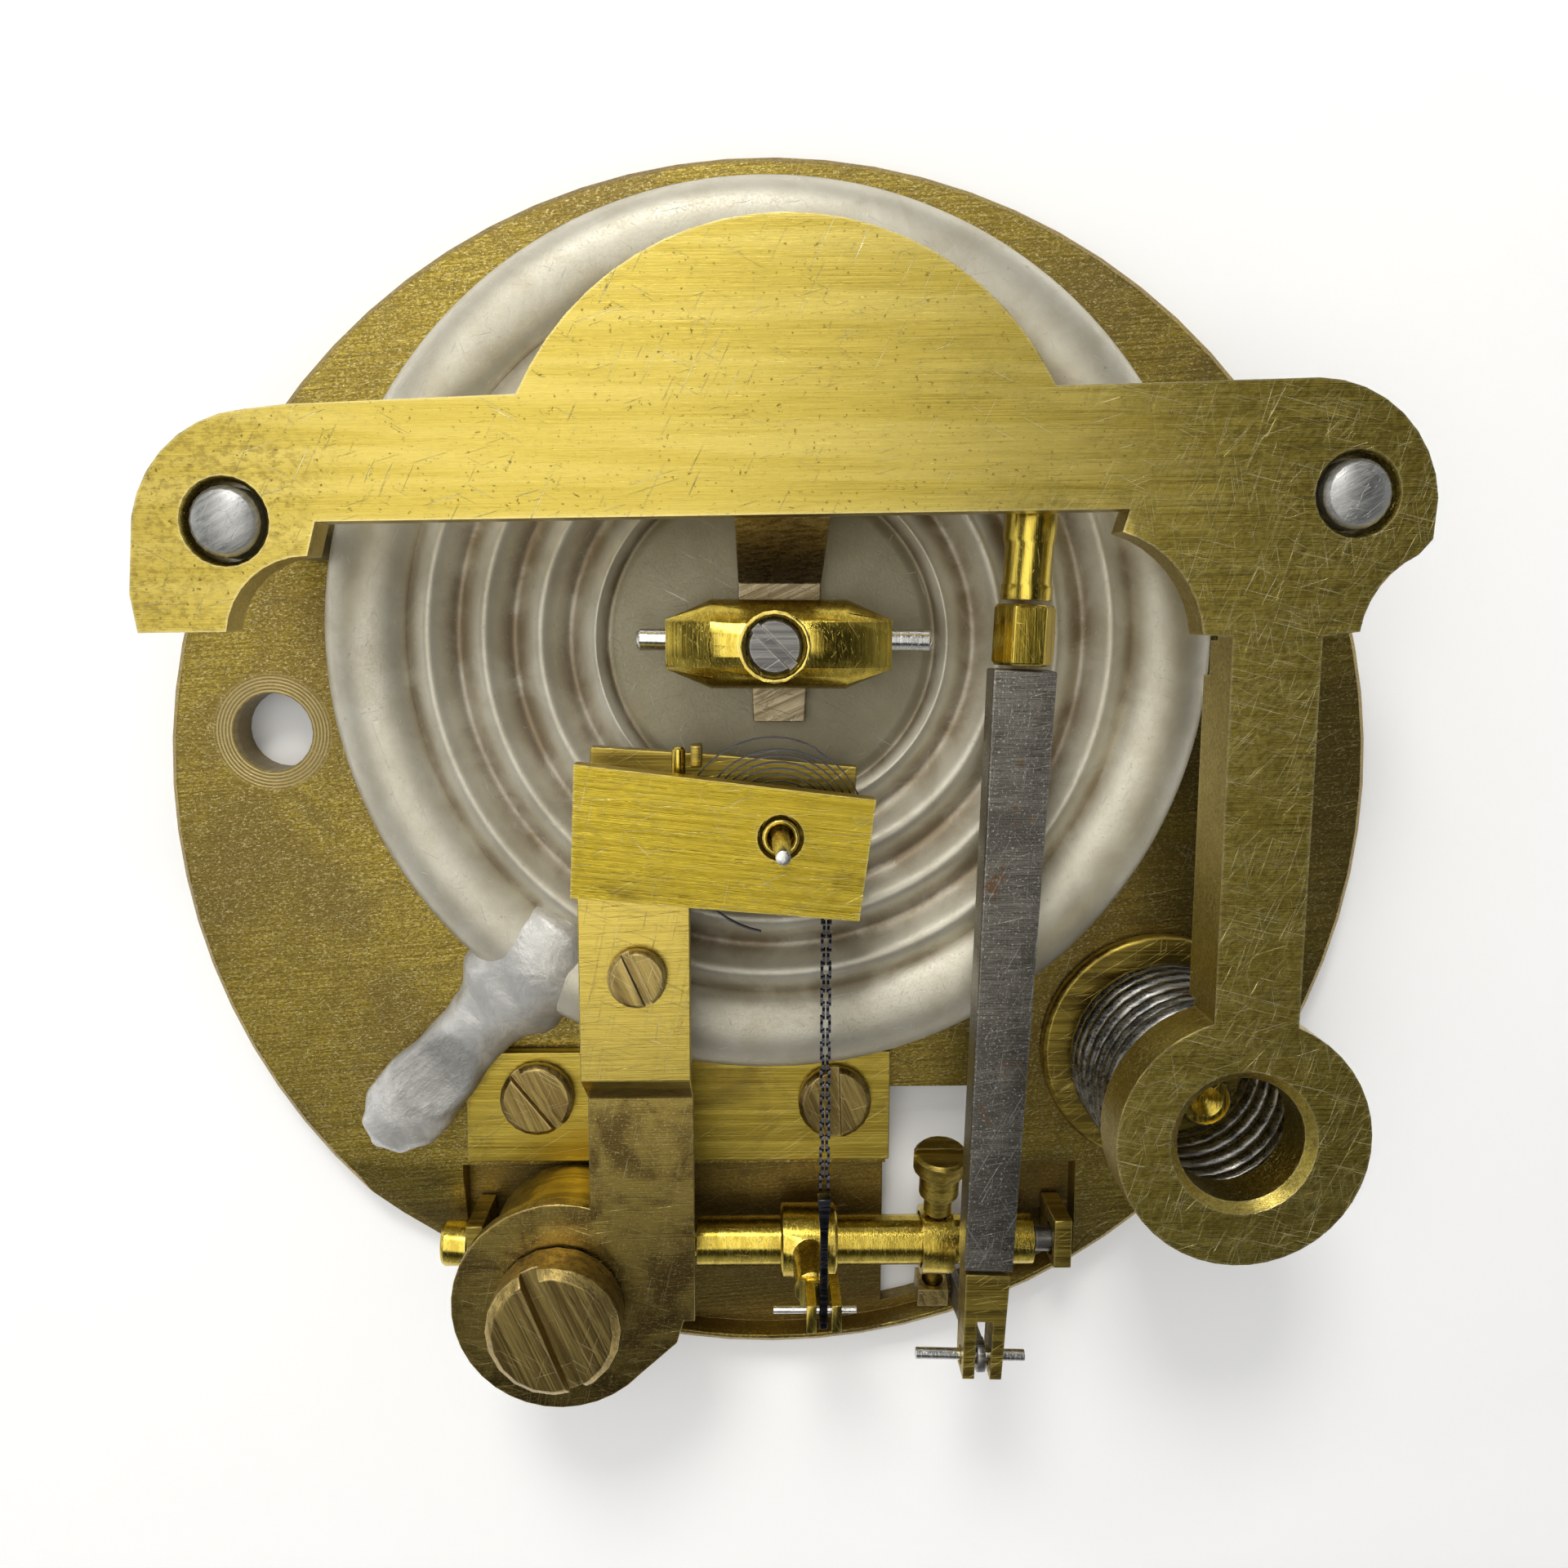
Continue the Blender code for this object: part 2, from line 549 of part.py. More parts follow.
def make_arbor(root):
    low, high = ARBOR_X
    profile = [(0.45, low - 1.2), (0.45, low), (ARBOR_R, low), (ARBOR_R, -8.0), (1.35, -7.9),
               (1.35, -6.7), (ARBOR_R, -6.6), (ARBOR_R, high), (0.45, high), (0.45, high + 1.2)]
    arbor = piece("arbor", along_x(turned(profile, 20)), BRASS, root, (0, ARBOR_Y, ARBOR_Z))
    tilt = (-math.radians(90 - REGULATING_TILT_DEG), 0, 0)
    cut(arbor, rod(CROSS_BORE_R, -8, 8, 16), "arbor_cross_bore", root, (REGULATING_X, ARBOR_Y, ARBOR_Z), tilt)

    section = [(ARBOR_R + GAP, -2.4), (2.95, -2.4), (3.15, -2.2),
               (3.15, 2.2), (2.95, 2.4), (ARBOR_R + GAP, 2.4)]
    collar_x = FORK_X + CHAIN_ARM_SHIFT
    arm_ring = along_x(turned(section, 20, ring=True))
    arm = piece("chain_arm", arm_ring, BRASS, root, (collar_x, ARBOR_Y, ARBOR_Z))
    join(arm, rod(1.45, 2.7, 8.4, 20), "chain_arm_post", root, (collar_x, ARBOR_Y, ARBOR_Z))
    head = block((CHAIN_ARM_SHIFT - 1.0, FORK_HEAD_HALF), (-1.1, 1.1), (8.0, FORK_ARM + 1.5))
    join(arm, head, "chain_arm_head", root, (FORK_X, ARBOR_Y, ARBOR_Z))
    shoulder = block((-4, -FORK_HEAD_HALF), (-3, 3), (9.0, 20))
    cut(arm, shoulder, "chain_arm_shoulder", root, (FORK_X, ARBOR_Y, ARBOR_Z))
    cut(arm, block((-0.6, 0.6), (-3, 3), (9.4, 20)), "fork_gap", root, (FORK_X, ARBOR_Y, ARBOR_Z))
    cut(arm, along_x(rod(0.58, -4, 4, 12)), "fork_bore", root, (FORK_X, ARBOR_Y, CHAIN_Z))
    piece("fork_pin", along_x(rod(0.28, -3.9, 2.6, 12)), STEEL_BRIGHT, root, (FORK_X, ARBOR_Y, CHAIN_Z))

    ring = turned([(ARBOR_R + GAP, -1.35), (2.9, -1.35), (2.9, 1.35), (ARBOR_R + GAP, 1.35)], 20, ring=True)
    collar = piece("regulating_collar", along_x(ring), BRASS, root, (REGULATING_X, ARBOR_Y, ARBOR_Z))
    cross = (REGULATING_X, ARBOR_Y, ARBOR_Z)
    cut(collar, rod(CROSS_BORE_R, -8, 8, 16), "collar_cross_bore", root, cross, tilt)


def make_regulating_screw(root):
    """Radial screw through the arbor, and the nut on its tail that carries the link."""
    place = (REGULATING_X, ARBOR_Y, ARBOR_Z)
    tilt = (-math.radians(90 - REGULATING_TILT_DEG), 0, 0)
    profile = [(0.5, -7.0), (0.65, -6.8), (0.65, 3.3), (1.2, 3.3), (1.2, 5.2),
               (1.7, 5.2), (1.7, 7.6), (2.3, 7.8), (2.3, 9.1), (2.05, 9.4)]
    screw = piece("regulating_screw", turned(profile, 20), BRASS_AGED, root, place, tilt)
    cut(screw, block((-4, 4), (-0.35, 0.35), (8.7, 11)), "regulating_slot", root, place, tilt)
    nut = piece("regulating_nut", block((-1.4, 1.25), (-1.4, 1.4), (-LINK_RADIUS - 0.9, -LINK_RADIUS + 0.9)),
                BRASS_DARK, root, place, tilt)
    join(nut, along_x(rod(0.3, 1.0, 2.6, 12)), "link_pin", root, (REGULATING_X, *link_ends()[1]))
    cut(nut, rod(0.95, -9, -3, 16), "regulating_nut_bore", root, place, tilt)


def make_arbor_supports(root):
    left = piece("arbor_post_left", block((-25.9, -24.5), (-41.3, -36.8), (-2.1, 4.2)), BRASS_AGED, root)
    right = piece("arbor_post_right", block((23.9, 25.4), (-41.3, -37.0), (-2.1, 3.6)), BRASS_AGED, root)
    axis = (0, ARBOR_Y, ARBOR_Z)
    for post, label in ((left, "left"), (right, "right")):
        cut(post, along_x(rod(1.4, -30, 30, 16)), "post_bore_" + label, root, axis)
    profile = [(1.7, -28.4), (1.9, -28.1), (1.9, -26.2), (1.1, -26.2), (1.1, ARBOR_X[0] - GAP),
               (0.75, ARBOR_X[0] - GAP), (0.75, -23.8)]
    piece("pivot_screw_left", along_x(turned(profile, 20)), BRASS, root, axis)
    profile = [(0.75, 23.9), (0.75, ARBOR_X[1] + GAP), (1.1, ARBOR_X[1] + GAP), (1.1, 25.6)]
    screw = piece("pivot_screw_right", along_x(turned(profile, 20)), STEEL, root, axis)
    cut(screw, block((25.1, 27), (-0.25, 0.25), (-3, 3)), "pivot_slot", root, axis)


def make_main_spring(root):
    washer = [(2.5, 0.3), (SPRING_SEAT_R, 0.3), (SPRING_SEAT_R, 1.2), (SPRING_SEAT_R - 0.3, 1.5), (2.5, 1.5)]
    piece("spring_seat", turned(washer, 40, ring=True), BRASS_AGED, root, (*SPRING, 0))
    profile = [(2.1, -3.7), (2.1, 12.9), (1.8, 13.4), (1.2, 13.4), (0.3, 12.7)]
    post = piece("spring_post", turned(profile, 20), BRASS_DARK, root, (*SPRING, 0))
    cut(post, block((-3, 3), (-0.4, 0.4), (-6, -2.9)), "spring_post_slot", root, (*SPRING, 0))
    bm = bmesh.new()
    steps_per_turn = 14
    sides = 6
    low = 1.8 + WIRE_R
    rise = ARM_LOW_Z - GAP - WIRE_R - low
    rings = []
    total = COIL_TURNS * steps_per_turn
    for i in range(total + 1):
        angle = 2 * math.pi * i / steps_per_turn
        # The end turns lie closed, the middle ones are open.
        share = i / total
        z = low + rise * (share - CLOSED_ENDS * math.sin(2 * math.pi * share))
        out = Vector((math.cos(angle), math.sin(angle), 0))
        centre = out * COIL_R + Vector((0, 0, z))
        ring = []
        for k in range(sides):
            turn = 2 * math.pi * k / sides
            offset = out * math.cos(turn) + Vector((0, 0, math.sin(turn)))
            ring.append(bm.verts.new(centre + offset * WIRE_R))
        rings.append(ring)
    bm.faces.new(rings[0])
    bm.faces.new(rings[-1])
    for one, two in zip(rings, rings[1:]):
        for k in range(sides):
            j = (k + 1) % sides
            bm.faces.new((one[k], one[j], two[j], two[k]))
    piece("main_spring", bm, STEEL, root, (*SPRING, 0))


def make_cock_foot(root):
    boss = turned([(5.4, -2.1), (5.4, 0.4), (PILLAR_R, 1.2), (PILLAR_R, STRAP_LOW - GAP)], 32)
    pillar = piece("cock_pillar", boss, BRASS_DARK, root, (*FOOT, 0))
    cut(pillar, block((-9, 9), (-2.45, 2.45), (-4, 3.8)), "arbor_tunnel", root, (FOOT[0], ARBOR_Y, 0))
    hole(pillar, FOOT, 2.0, 5.4, 14, "pillar_bore", root)

    side = [(2.4, STRAP_HIGH), (-20.2, STRAP_HIGH), (-22.9, STRAP_LOW), (-41.0, STRAP_LOW),
            (-41.0, STRAP_LOW + STRAP_T), (-22.6, STRAP_LOW + STRAP_T), (-19.8, STRAP_HIGH + STRAP_T),
            (2.4, STRAP_HIGH + STRAP_T)]
    bracket = piece("cock_bracket", on_edge(prism(side, *STRAP_X)), BRASS, root)
    foot = arc(FOOT, FOOT_R, 70, 318, 26) + [(-7.8, -42.8), (STRAP_X[1] - 0.5, -39.6)]
    join(bracket, prism(foot, STRAP_LOW, STRAP_LOW + STRAP_T), "bracket_foot", root)
    cut(bracket, block((STRAP_X[1] - 1.3, 0), (-5.2, 6), (10, 20)), "bracket_shoulder", root)
    hole(bracket, FOOT, 2.0, 5, 14, "bracket_foot_hole", root)
    hole(bracket, COCK_SCREW, 1.2, 12, 20, "bracket_screw_hole", root, 16)
    low = STRAP_LOW + STRAP_T + GAP
    slotted_screw("cock_fixing_screw", BRASS_DARK, root, FOOT,
                  5.15, (low, low + 3.9), 1.7, 5.7, -69, 1.4, 1.2)


def make_cock_plates(root):
    low, high = LOWER_PLATE_Z
    outline = [(-14.0, 4.4), (-14.6, -17.2), (-7.2, -17.2), (-7.2, -6.3),
               (5.2, -7.0), (6.0, 2.9), (-4.5, 3.8)]
    lower = piece("cock_lower_plate", prism(outline, low, high), BRASS_AGED, root)
    hole(lower, POINTER, 0.8, 8, 13, "lower_pivot_hole", root, 16)
    hole(lower, COCK_SCREW, 1.2, 8, 13, "lower_screw_hole", root, 16)
    packing = block((-14.5, -7.3), (-17.0, -8.6), (high + GAP, STRAP_HIGH - GAP))
    spacer = piece("cock_spacer", packing, BRASS_AGED, root)
    hole(spacer, COCK_SCREW, 1.2, 8, 16, "spacer_hole", root, 16)
    top = STRAP_HIGH + STRAP_T + GAP
    slotted_screw("cock_plate_screw", BRASS_DARK, root, COCK_SCREW,
                  2.15, (top, top + 0.9), 0.9, 10.2, -66, 0.6, 0.45)
    low, high = UPPER_PLATE_Z
    outline = [(-14.3, 3.9), (-14.7, -5.6), (-6.4, -6.3), (5.7, -7.3), (6.8, 1.4)]
    upper = piece("cock_upper_plate", prism(outline, low, high), BRASS, root)
    hole(upper, POINTER, 1.65, 15, 20, "bush_hole", root, 24)
    bush = [(0.95, low), (1.35, low), (1.35, high + 0.1), (0.95, high + 0.1)]
    piece("pivot_bush", turned(bush, 20, ring=True), BRASS_AGED, root, (*POINTER, 0))


def make_pointer(root):
    profile = [(0.5, 9.6), (0.5, 11.7), (0.65, 11.7), (0.65, 22.0), (0.5, 22.4), (0.5, 25.8)]
    piece("pointer_arbor", turned(profile, 16), STEEL_BRIGHT, root, (*POINTER, 0))
    drum = [(0.95, 12.0), (DRUM_R, 12.0), (DRUM_R, 13.8), (0.95, 13.8)]
    piece("chain_drum", turned(drum, 24, ring=True), BRASS_AGED, root, (*POINTER, 0))
    collet = [(0.95, 14.1), (1.45, 14.1), (1.45, 15.6), (0.95, 15.6)]
    piece("hairspring_collet", turned(collet, 16, ring=True), BRASS, root, (*POINTER, 0))


def make_hairspring(root):
    """Flat spiral from the collet out to the stud."""
    bm = bmesh.new()
    steps_per_turn = 16
    total = HAIRSPRING_TURNS * steps_per_turn
    inner = 1.9
    outer = 7.2
    thick = 0.07
    low, high = 14.5, 15.0
    rings = []
    for i in range(total + 1):
        share = i / total
        radius = inner + (outer - inner) * share ** 1.25
        angle = 2 * math.pi * i / steps_per_turn + math.radians(138)
        out = Vector((math.cos(angle), math.sin(angle), 0))
        near = out * (radius - thick)
        far = out * (radius + thick)
        corners = ((near, low), (far, low), (far, high), (near, high))
        rings.append([bm.verts.new((p.x, p.y, z)) for p, z in corners])
    bm.faces.new(rings[0])
    bm.faces.new(rings[-1])
    for one, two in zip(rings, rings[1:]):
        for k in range(4):
            j = (k + 1) % 4
            bm.faces.new((one[k], one[j], two[j], two[k]))
    piece("hairspring", bm, STEEL_BLUED, root, (*POINTER, 0))
    stud = block((-6.3, -5.5), (3.4, 5.0), (14.2, UPPER_PLATE_Z[0] - GAP))
    piece("hairspring_stud", stud, BRASS_AGED, root)
    pin = along_y(rod(0.5, 2.6, 4.8, 16, 0.2))
    piece("stud_pin", pin, BRASS, root, (-7.2, 0, 15.1))


def make_chain(root):
    """Straight run of the chain from the drum, and its hook on the fork's pin."""
    x = POINTER[0] + DRUM_R + GAP + CHAIN_W / 2
    run = block((x - CHAIN_W / 2, x + CHAIN_W / 2), (-30.0, POINTER[1]), (CHAIN_Z - 0.25, CHAIN_Z + 0.25))
    piece("chain", run, STEEL_BLUED, root)
    outline = [(x - 0.3, ARBOR_Y - 1.3), (x + 0.3, ARBOR_Y - 1.3), (x + 0.3, -33.0),
               (x + 0.5, -30.3), (x - 0.5, -30.3),
               (x - 0.3, -33.0)]
    hook = piece("chain_hook", prism(outline, CHAIN_Z - 0.65, CHAIN_Z + 0.65), STEEL_BLUED, root)
    axis = (FORK_X, ARBOR_Y, CHAIN_Z)
    cut(hook, along_x(rod(0.58, -2, 2, 12)), "hook_eye", root, axis)


def main():
    clear_scene()
    movement = empty("movement", (0, 0, PLATE_T))
    make_base_plate(movement)
    make_cover_bar(movement)
    make_fulcrum_pins(movement)
    make_capsule(movement)
    make_exhaust_tail(movement)
    make_lever(movement)
    make_tongue(movement)
    make_socket(movement)
    make_compensating_arm(movement)
    make_link(movement)
    make_arbor(movement)
    make_regulating_screw(movement)
    make_arbor_supports(movement)
    make_main_spring(movement)
    make_cock_foot(movement)
    make_cock_plates(movement)
    make_pointer(movement)
    make_hairspring(movement)
    make_chain(movement)


main()
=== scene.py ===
"""Looks of an aneroid barometer movement: finer shapes, metals, light and camera.

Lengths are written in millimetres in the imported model's frame: the plate's underside is
at height 0, +Z points to the dial and +Y to the capsule.
"""
import math

import bmesh
import bpy
from mathutils import Matrix, Vector, noise


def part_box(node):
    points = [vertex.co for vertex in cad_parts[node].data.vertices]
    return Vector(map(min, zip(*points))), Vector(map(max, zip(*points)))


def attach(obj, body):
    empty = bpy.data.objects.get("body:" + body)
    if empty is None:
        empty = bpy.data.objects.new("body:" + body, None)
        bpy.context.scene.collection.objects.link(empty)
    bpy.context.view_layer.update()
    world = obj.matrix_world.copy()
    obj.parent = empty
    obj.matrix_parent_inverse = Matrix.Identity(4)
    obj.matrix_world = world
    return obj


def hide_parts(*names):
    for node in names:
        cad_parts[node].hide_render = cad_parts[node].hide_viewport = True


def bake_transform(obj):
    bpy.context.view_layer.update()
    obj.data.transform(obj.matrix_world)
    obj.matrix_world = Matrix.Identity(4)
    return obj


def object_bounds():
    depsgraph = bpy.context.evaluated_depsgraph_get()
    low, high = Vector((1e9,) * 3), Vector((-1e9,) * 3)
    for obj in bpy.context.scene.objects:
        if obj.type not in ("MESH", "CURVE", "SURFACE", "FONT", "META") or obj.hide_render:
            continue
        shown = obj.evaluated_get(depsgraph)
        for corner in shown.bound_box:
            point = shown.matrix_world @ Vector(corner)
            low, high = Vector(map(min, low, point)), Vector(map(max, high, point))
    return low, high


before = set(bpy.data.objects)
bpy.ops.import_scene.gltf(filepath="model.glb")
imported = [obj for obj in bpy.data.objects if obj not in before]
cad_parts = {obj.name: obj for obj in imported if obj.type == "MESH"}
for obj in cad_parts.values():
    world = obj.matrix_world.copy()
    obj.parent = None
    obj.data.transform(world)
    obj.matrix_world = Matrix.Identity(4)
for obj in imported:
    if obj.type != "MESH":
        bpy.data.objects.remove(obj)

MM = 0.001
TAU = 2 * math.pi
CAD_BOX = [list(corner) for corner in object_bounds()]

# Capsule: its waves, counted by radius from its middle
WAVE_PITCH = 4.3
OUTER_GROOVE = 28.4
INNER_GROOVE = 15.5
SHELL_SEGMENTS = 200

# Exhaust tail: where it leaves the rim, its heading, and how far out its filed facet lies
TAIL_START = (-21.5, -16.2)
TAIL_DEG = 229
TAIL_FACET = 9.6

CASE_HOLE = (-41.4, 4.4)

# Studio: strength of the surroundings level with the object and overhead
WALL_LIGHT = 0.4
CEILING_LIGHT = 0.03
FLOOR_HALF = 1500.0
WARM_WHITE = (1.0, 0.985, 0.94)

# Camera, in metres
CAMERA_PLACE = (-0.00196, 0.01484, 0.114)
CAMERA_AHEAD = (0.0246, -0.133, -0.9908)
CAMERA_UP = (0.0, 0.9911, -0.133)


# ---------------------------------------------------------------- helpers

def span(node):
    """Lowest and highest corner of a CAD node, in millimetres."""
    low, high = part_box(node)
    return low / MM, high / MM


def middle(node):
    """Middle of a CAD node's box, in millimetres."""
    low, high = span(node)
    return (low + high) / 2


def piece(name, bm, material, body, smooth=True):
    """A new visible piece from a mesh drawn in millimetres, riding on a CAD body."""
    bmesh.ops.recalc_face_normals(bm, faces=bm.faces)
    bmesh.ops.scale(bm, vec=(MM, MM, MM), verts=bm.verts)
    mesh = bpy.data.meshes.new(name)
    bm.to_mesh(mesh)
    bm.free()
    if smooth:
        mesh.shade_smooth()
    obj = bpy.data.objects.new(name, mesh)
    bpy.context.scene.collection.objects.link(obj)
    mesh.materials.append(material)
    if body:
        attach(obj, body)
    return obj


def lathe(profile, segments, centre, wobble):
    """Turn (radius, height) pairs about a vertical axis and close both ends."""
    bm = bmesh.new()
    rings = []
    for radius, height in profile:
        ring = []
        for i in range(segments):
            angle = TAU * i / segments
            x = radius * math.cos(angle)
            y = radius * math.sin(angle)
            lift = wobble * noise.noise(Vector((x * 0.12, y * 0.12, height * 0.3)))
            ring.append(bm.verts.new((centre[0] + x, centre[1] + y, height + lift)))
        rings.append(ring)
    for one, two in zip(rings, rings[1:]):
        for i in range(segments):
            j = (i + 1) % segments
            bm.faces.new((one[i], one[j], two[j], two[i]))
    bm.faces.new(rings[0])
    bm.faces.new(rings[-1])
    return bm


def tube(points, radius, sides=12):
    """Closed tube of one radius through points."""
    bm = bmesh.new()
    side = Vector((0, 0, 1))
    rings = []
    for i, point in enumerate(points):
        ahead = points[min(i + 1, len(points) - 1)] - points[max(i - 1, 0)]
        ahead.normalize()
        side = side - ahead * side.dot(ahead)
        if side.length < 1e-6:
            side = ahead.orthogonal()
        side.normalize()
        other = ahead.cross(side)
        ring = []
        for k in range(sides):
            turn = TAU * k / sides
            offset = side * math.cos(turn) + other * math.sin(turn)
            ring.append(bm.verts.new(point + offset * radius))
        rings.append(ring)
    for one, two in zip(rings, rings[1:]):
        for k in range(sides):
            j = (k + 1) % sides
            bm.faces.new((one[k], one[j], two[j], two[k]))
    bm.faces.new(rings[0])
    bm.faces.new(rings[-1])
    return bm


def dress(node, material, bevel=0.15):
    """Give a CAD node its metal, rounded edges and even shading."""
    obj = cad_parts[node]
    mesh = obj.data
    if mesh.attributes.get("custom_normal"):
        mesh.attributes.remove(mesh.attributes["custom_normal"])
    mesh.shade_smooth()
    mesh.materials.clear()
    mesh.materials.append(material)
    weld = obj.modifiers.new("weld", "WELD")
    weld.merge_threshold = 2e-6
    rounding = obj.modifiers.new("rounding", "BEVEL")
    rounding.width = bevel * MM
    rounding.segments = 2
    rounding.limit_method = "ANGLE"
    rounding.angle_limit = math.radians(32)
    rounding.use_clamp_overlap = True
    shading = obj.modifiers.new("shading", "WEIGHTED_NORMAL")
    shading.keep_sharp = True


# ---------------------------------------------------------------- metals

class Metal:
    """Builds one procedural metal; every texture is in the piece's own millimetres."""

    def __init__(self, name, roughness, anisotropy=0.0, metallic=1.0):
        self.material = bpy.data.materials.new(name)
        self.material.use_nodes = True
        self.tree = self.material.node_tree
        self.shader = self.tree.nodes["Principled BSDF"]
        self.shader.inputs["Metallic"].default_value = metallic
        self.shader.inputs["Roughness"].default_value = roughness
        self.shader.inputs["Anisotropic"].default_value = anisotropy
        coordinates = self.add("ShaderNodeTexCoord")
        scaled = self.add("ShaderNodeVectorMath", operation="SCALE")
        scaled.inputs["Scale"].default_value = 1 / MM
        self.tree.links.new(coordinates.outputs["Object"], scaled.inputs[0])
        self.place = scaled.outputs[0]

    def add(self, kind, **settings):
        """A new node with its settings."""
        node = self.tree.nodes.new(kind)
        for key, value in settings.items():
            setattr(node, key, value)
        return node

    def wire(self, value, socket):
        """Link another node's output to a socket, or set the socket to a plain value."""
        if isinstance(value, bpy.types.NodeSocket):
            self.tree.links.new(value, socket)
        else:
            socket.default_value = value

    def spread(self, stretch, turn=0.0, shift=0.0):
        """The place turned by some degrees about Z, then stretched by cycles per millimetre."""
        turned = self.add("ShaderNodeMapping", vector_type="POINT")
        self.wire(self.place, turned.inputs["Vector"])
        turned.inputs["Rotation"].default_value = (0, 0, math.radians(-turn))
        turned.inputs["Location"].default_value = (shift, shift * 0.7, shift * 0.3)
        stretched = self.add("ShaderNodeVectorMath", operation="MULTIPLY")
        self.wire(turned.outputs[0], stretched.inputs[0])
        stretched.inputs[1].default_value = stretch
        return stretched.outputs[0]

    def cloud(self, stretch, turn=0.0, detail=3.0, rough=0.55, warp=0.0, shift=0.0):
        """Noise from 0 to 1, stretched by cycles per millimetre along each axis."""
        texture = self.add("ShaderNodeTexNoise")
        self.wire(self.spread(stretch, turn, shift), texture.inputs["Vector"])
        texture.inputs["Scale"].default_value = 1.0
        texture.inputs["Detail"].default_value = detail
        texture.inputs["Roughness"].default_value = rough
        texture.inputs["Distortion"].default_value = warp
        return texture.outputs["Fac"]

    def between(self, value, low, high, start=0.0, end=1.0):
        """Ease from start to end as the value goes from low to high."""
        ramp = self.add("ShaderNodeMapRange", interpolation_type="SMOOTHSTEP")
        self.wire(value, ramp.inputs["Value"])
        for label, number in (("From Min", low), ("From Max", high), ("To Min", start), ("To Max", end)):
            ramp.inputs[label].default_value = number
        return ramp.outputs["Result"]

    def calculate(self, operation, *values):
        """One Math node on plain values or on other nodes' outputs."""
        node = self.add("ShaderNodeMath", operation=operation)
        for value, socket in zip(values, node.inputs):
            self.wire(value, socket)
        return node.outputs[0]

    def plus(self, one, two):
        return self.calculate("ADD", one, two)

    def minus(self, one, two):
        return self.calculate("SUBTRACT", one, two)

    def times(self, one, two):
        return self.calculate("MULTIPLY", one, two)

    def larger(self, one, two):
        return self.calculate("MAXIMUM", one, two)

    def sine(self, value):
        return self.calculate("SINE", value)

    def blend(self, share, one, two):
        """The first colour at share 0 and the second at share 1."""
        mix = self.add("ShaderNodeMix", data_type="RGBA")
        self.wire(share, mix.inputs[0])
        for value, socket in ((one, mix.inputs[6]), (two, mix.inputs[7])):
            self.wire((*value, 1.0) if isinstance(value, tuple) else value, socket)
        return mix.outputs[2]

    def scratches(self, turn, width=8.0, length=0.22, rarity=0.68, shift=0.0, bend=0.25):
        """Thin streaks, about 1/length long, at an angle; 1 on a scratch and 0 beside it."""
        streaks = self.cloud((length, width, width), turn, 1.0, 0.4, bend, shift)
        return self.between(streaks, rarity, rarity + 0.05)

    def edges(self, radius):
        """1 on outer and inner edges within a radius, 0 on flat faces."""
        rounded = self.add("ShaderNodeBevel", samples=3)
        rounded.inputs["Radius"].default_value = radius * MM
        true = self.add("ShaderNodeNewGeometry")
        dot = self.add("ShaderNodeVectorMath", operation="DOT_PRODUCT")
        self.wire(rounded.outputs[0], dot.inputs[0])
        self.wire(true.outputs["Normal"], dot.inputs[1])
        return self.between(dot.outputs["Value"], 0.995, 0.85)

    def distance(self, centre):
        """Distance from a vertical axis, in millimetres."""
        offset = self.add("ShaderNodeVectorMath", operation="SUBTRACT")
        self.wire(self.place, offset.inputs[0])
        offset.inputs[1].default_value = (centre[0], centre[1], 0)
        flat = self.add("ShaderNodeVectorMath", operation="MULTIPLY")
        self.wire(offset.outputs[0], flat.inputs[0])
        flat.inputs[1].default_value = (1, 1, 0)
        length = self.add("ShaderNodeVectorMath", operation="LENGTH")
        self.wire(flat.outputs[0], length.inputs[0])
        return length.outputs["Value"]

    def along(self, axis):
        """Place along X, Y or Z, in millimetres."""
        parts = self.add("ShaderNodeSeparateXYZ")
        self.wire(self.place, parts.inputs[0])
        return parts.outputs[axis]

    def tangent(self, direction):
        """The way that the brushing runs."""
        vector = self.add("ShaderNodeCombineXYZ")
        for socket, number in zip(vector.inputs, direction):
            socket.default_value = number
        self.wire(vector.outputs[0], self.shader.inputs["Tangent"])

    def finish(self, colour, roughness, height, depth):
        """Wire up the shader; depth is the bump's height in millimetres."""
        self.wire(colour, self.shader.inputs["Base Color"])
        self.wire(roughness, self.shader.inputs["Roughness"])
        bump = self.add("ShaderNodeBump")
        bump.inputs["Distance"].default_value = depth * MM
        bump.inputs["Strength"].default_value = 1.0
        self.wire(height, bump.inputs["Height"])
        self.wire(bump.outputs[0], self.shader.inputs["Normal"])
        return self.material


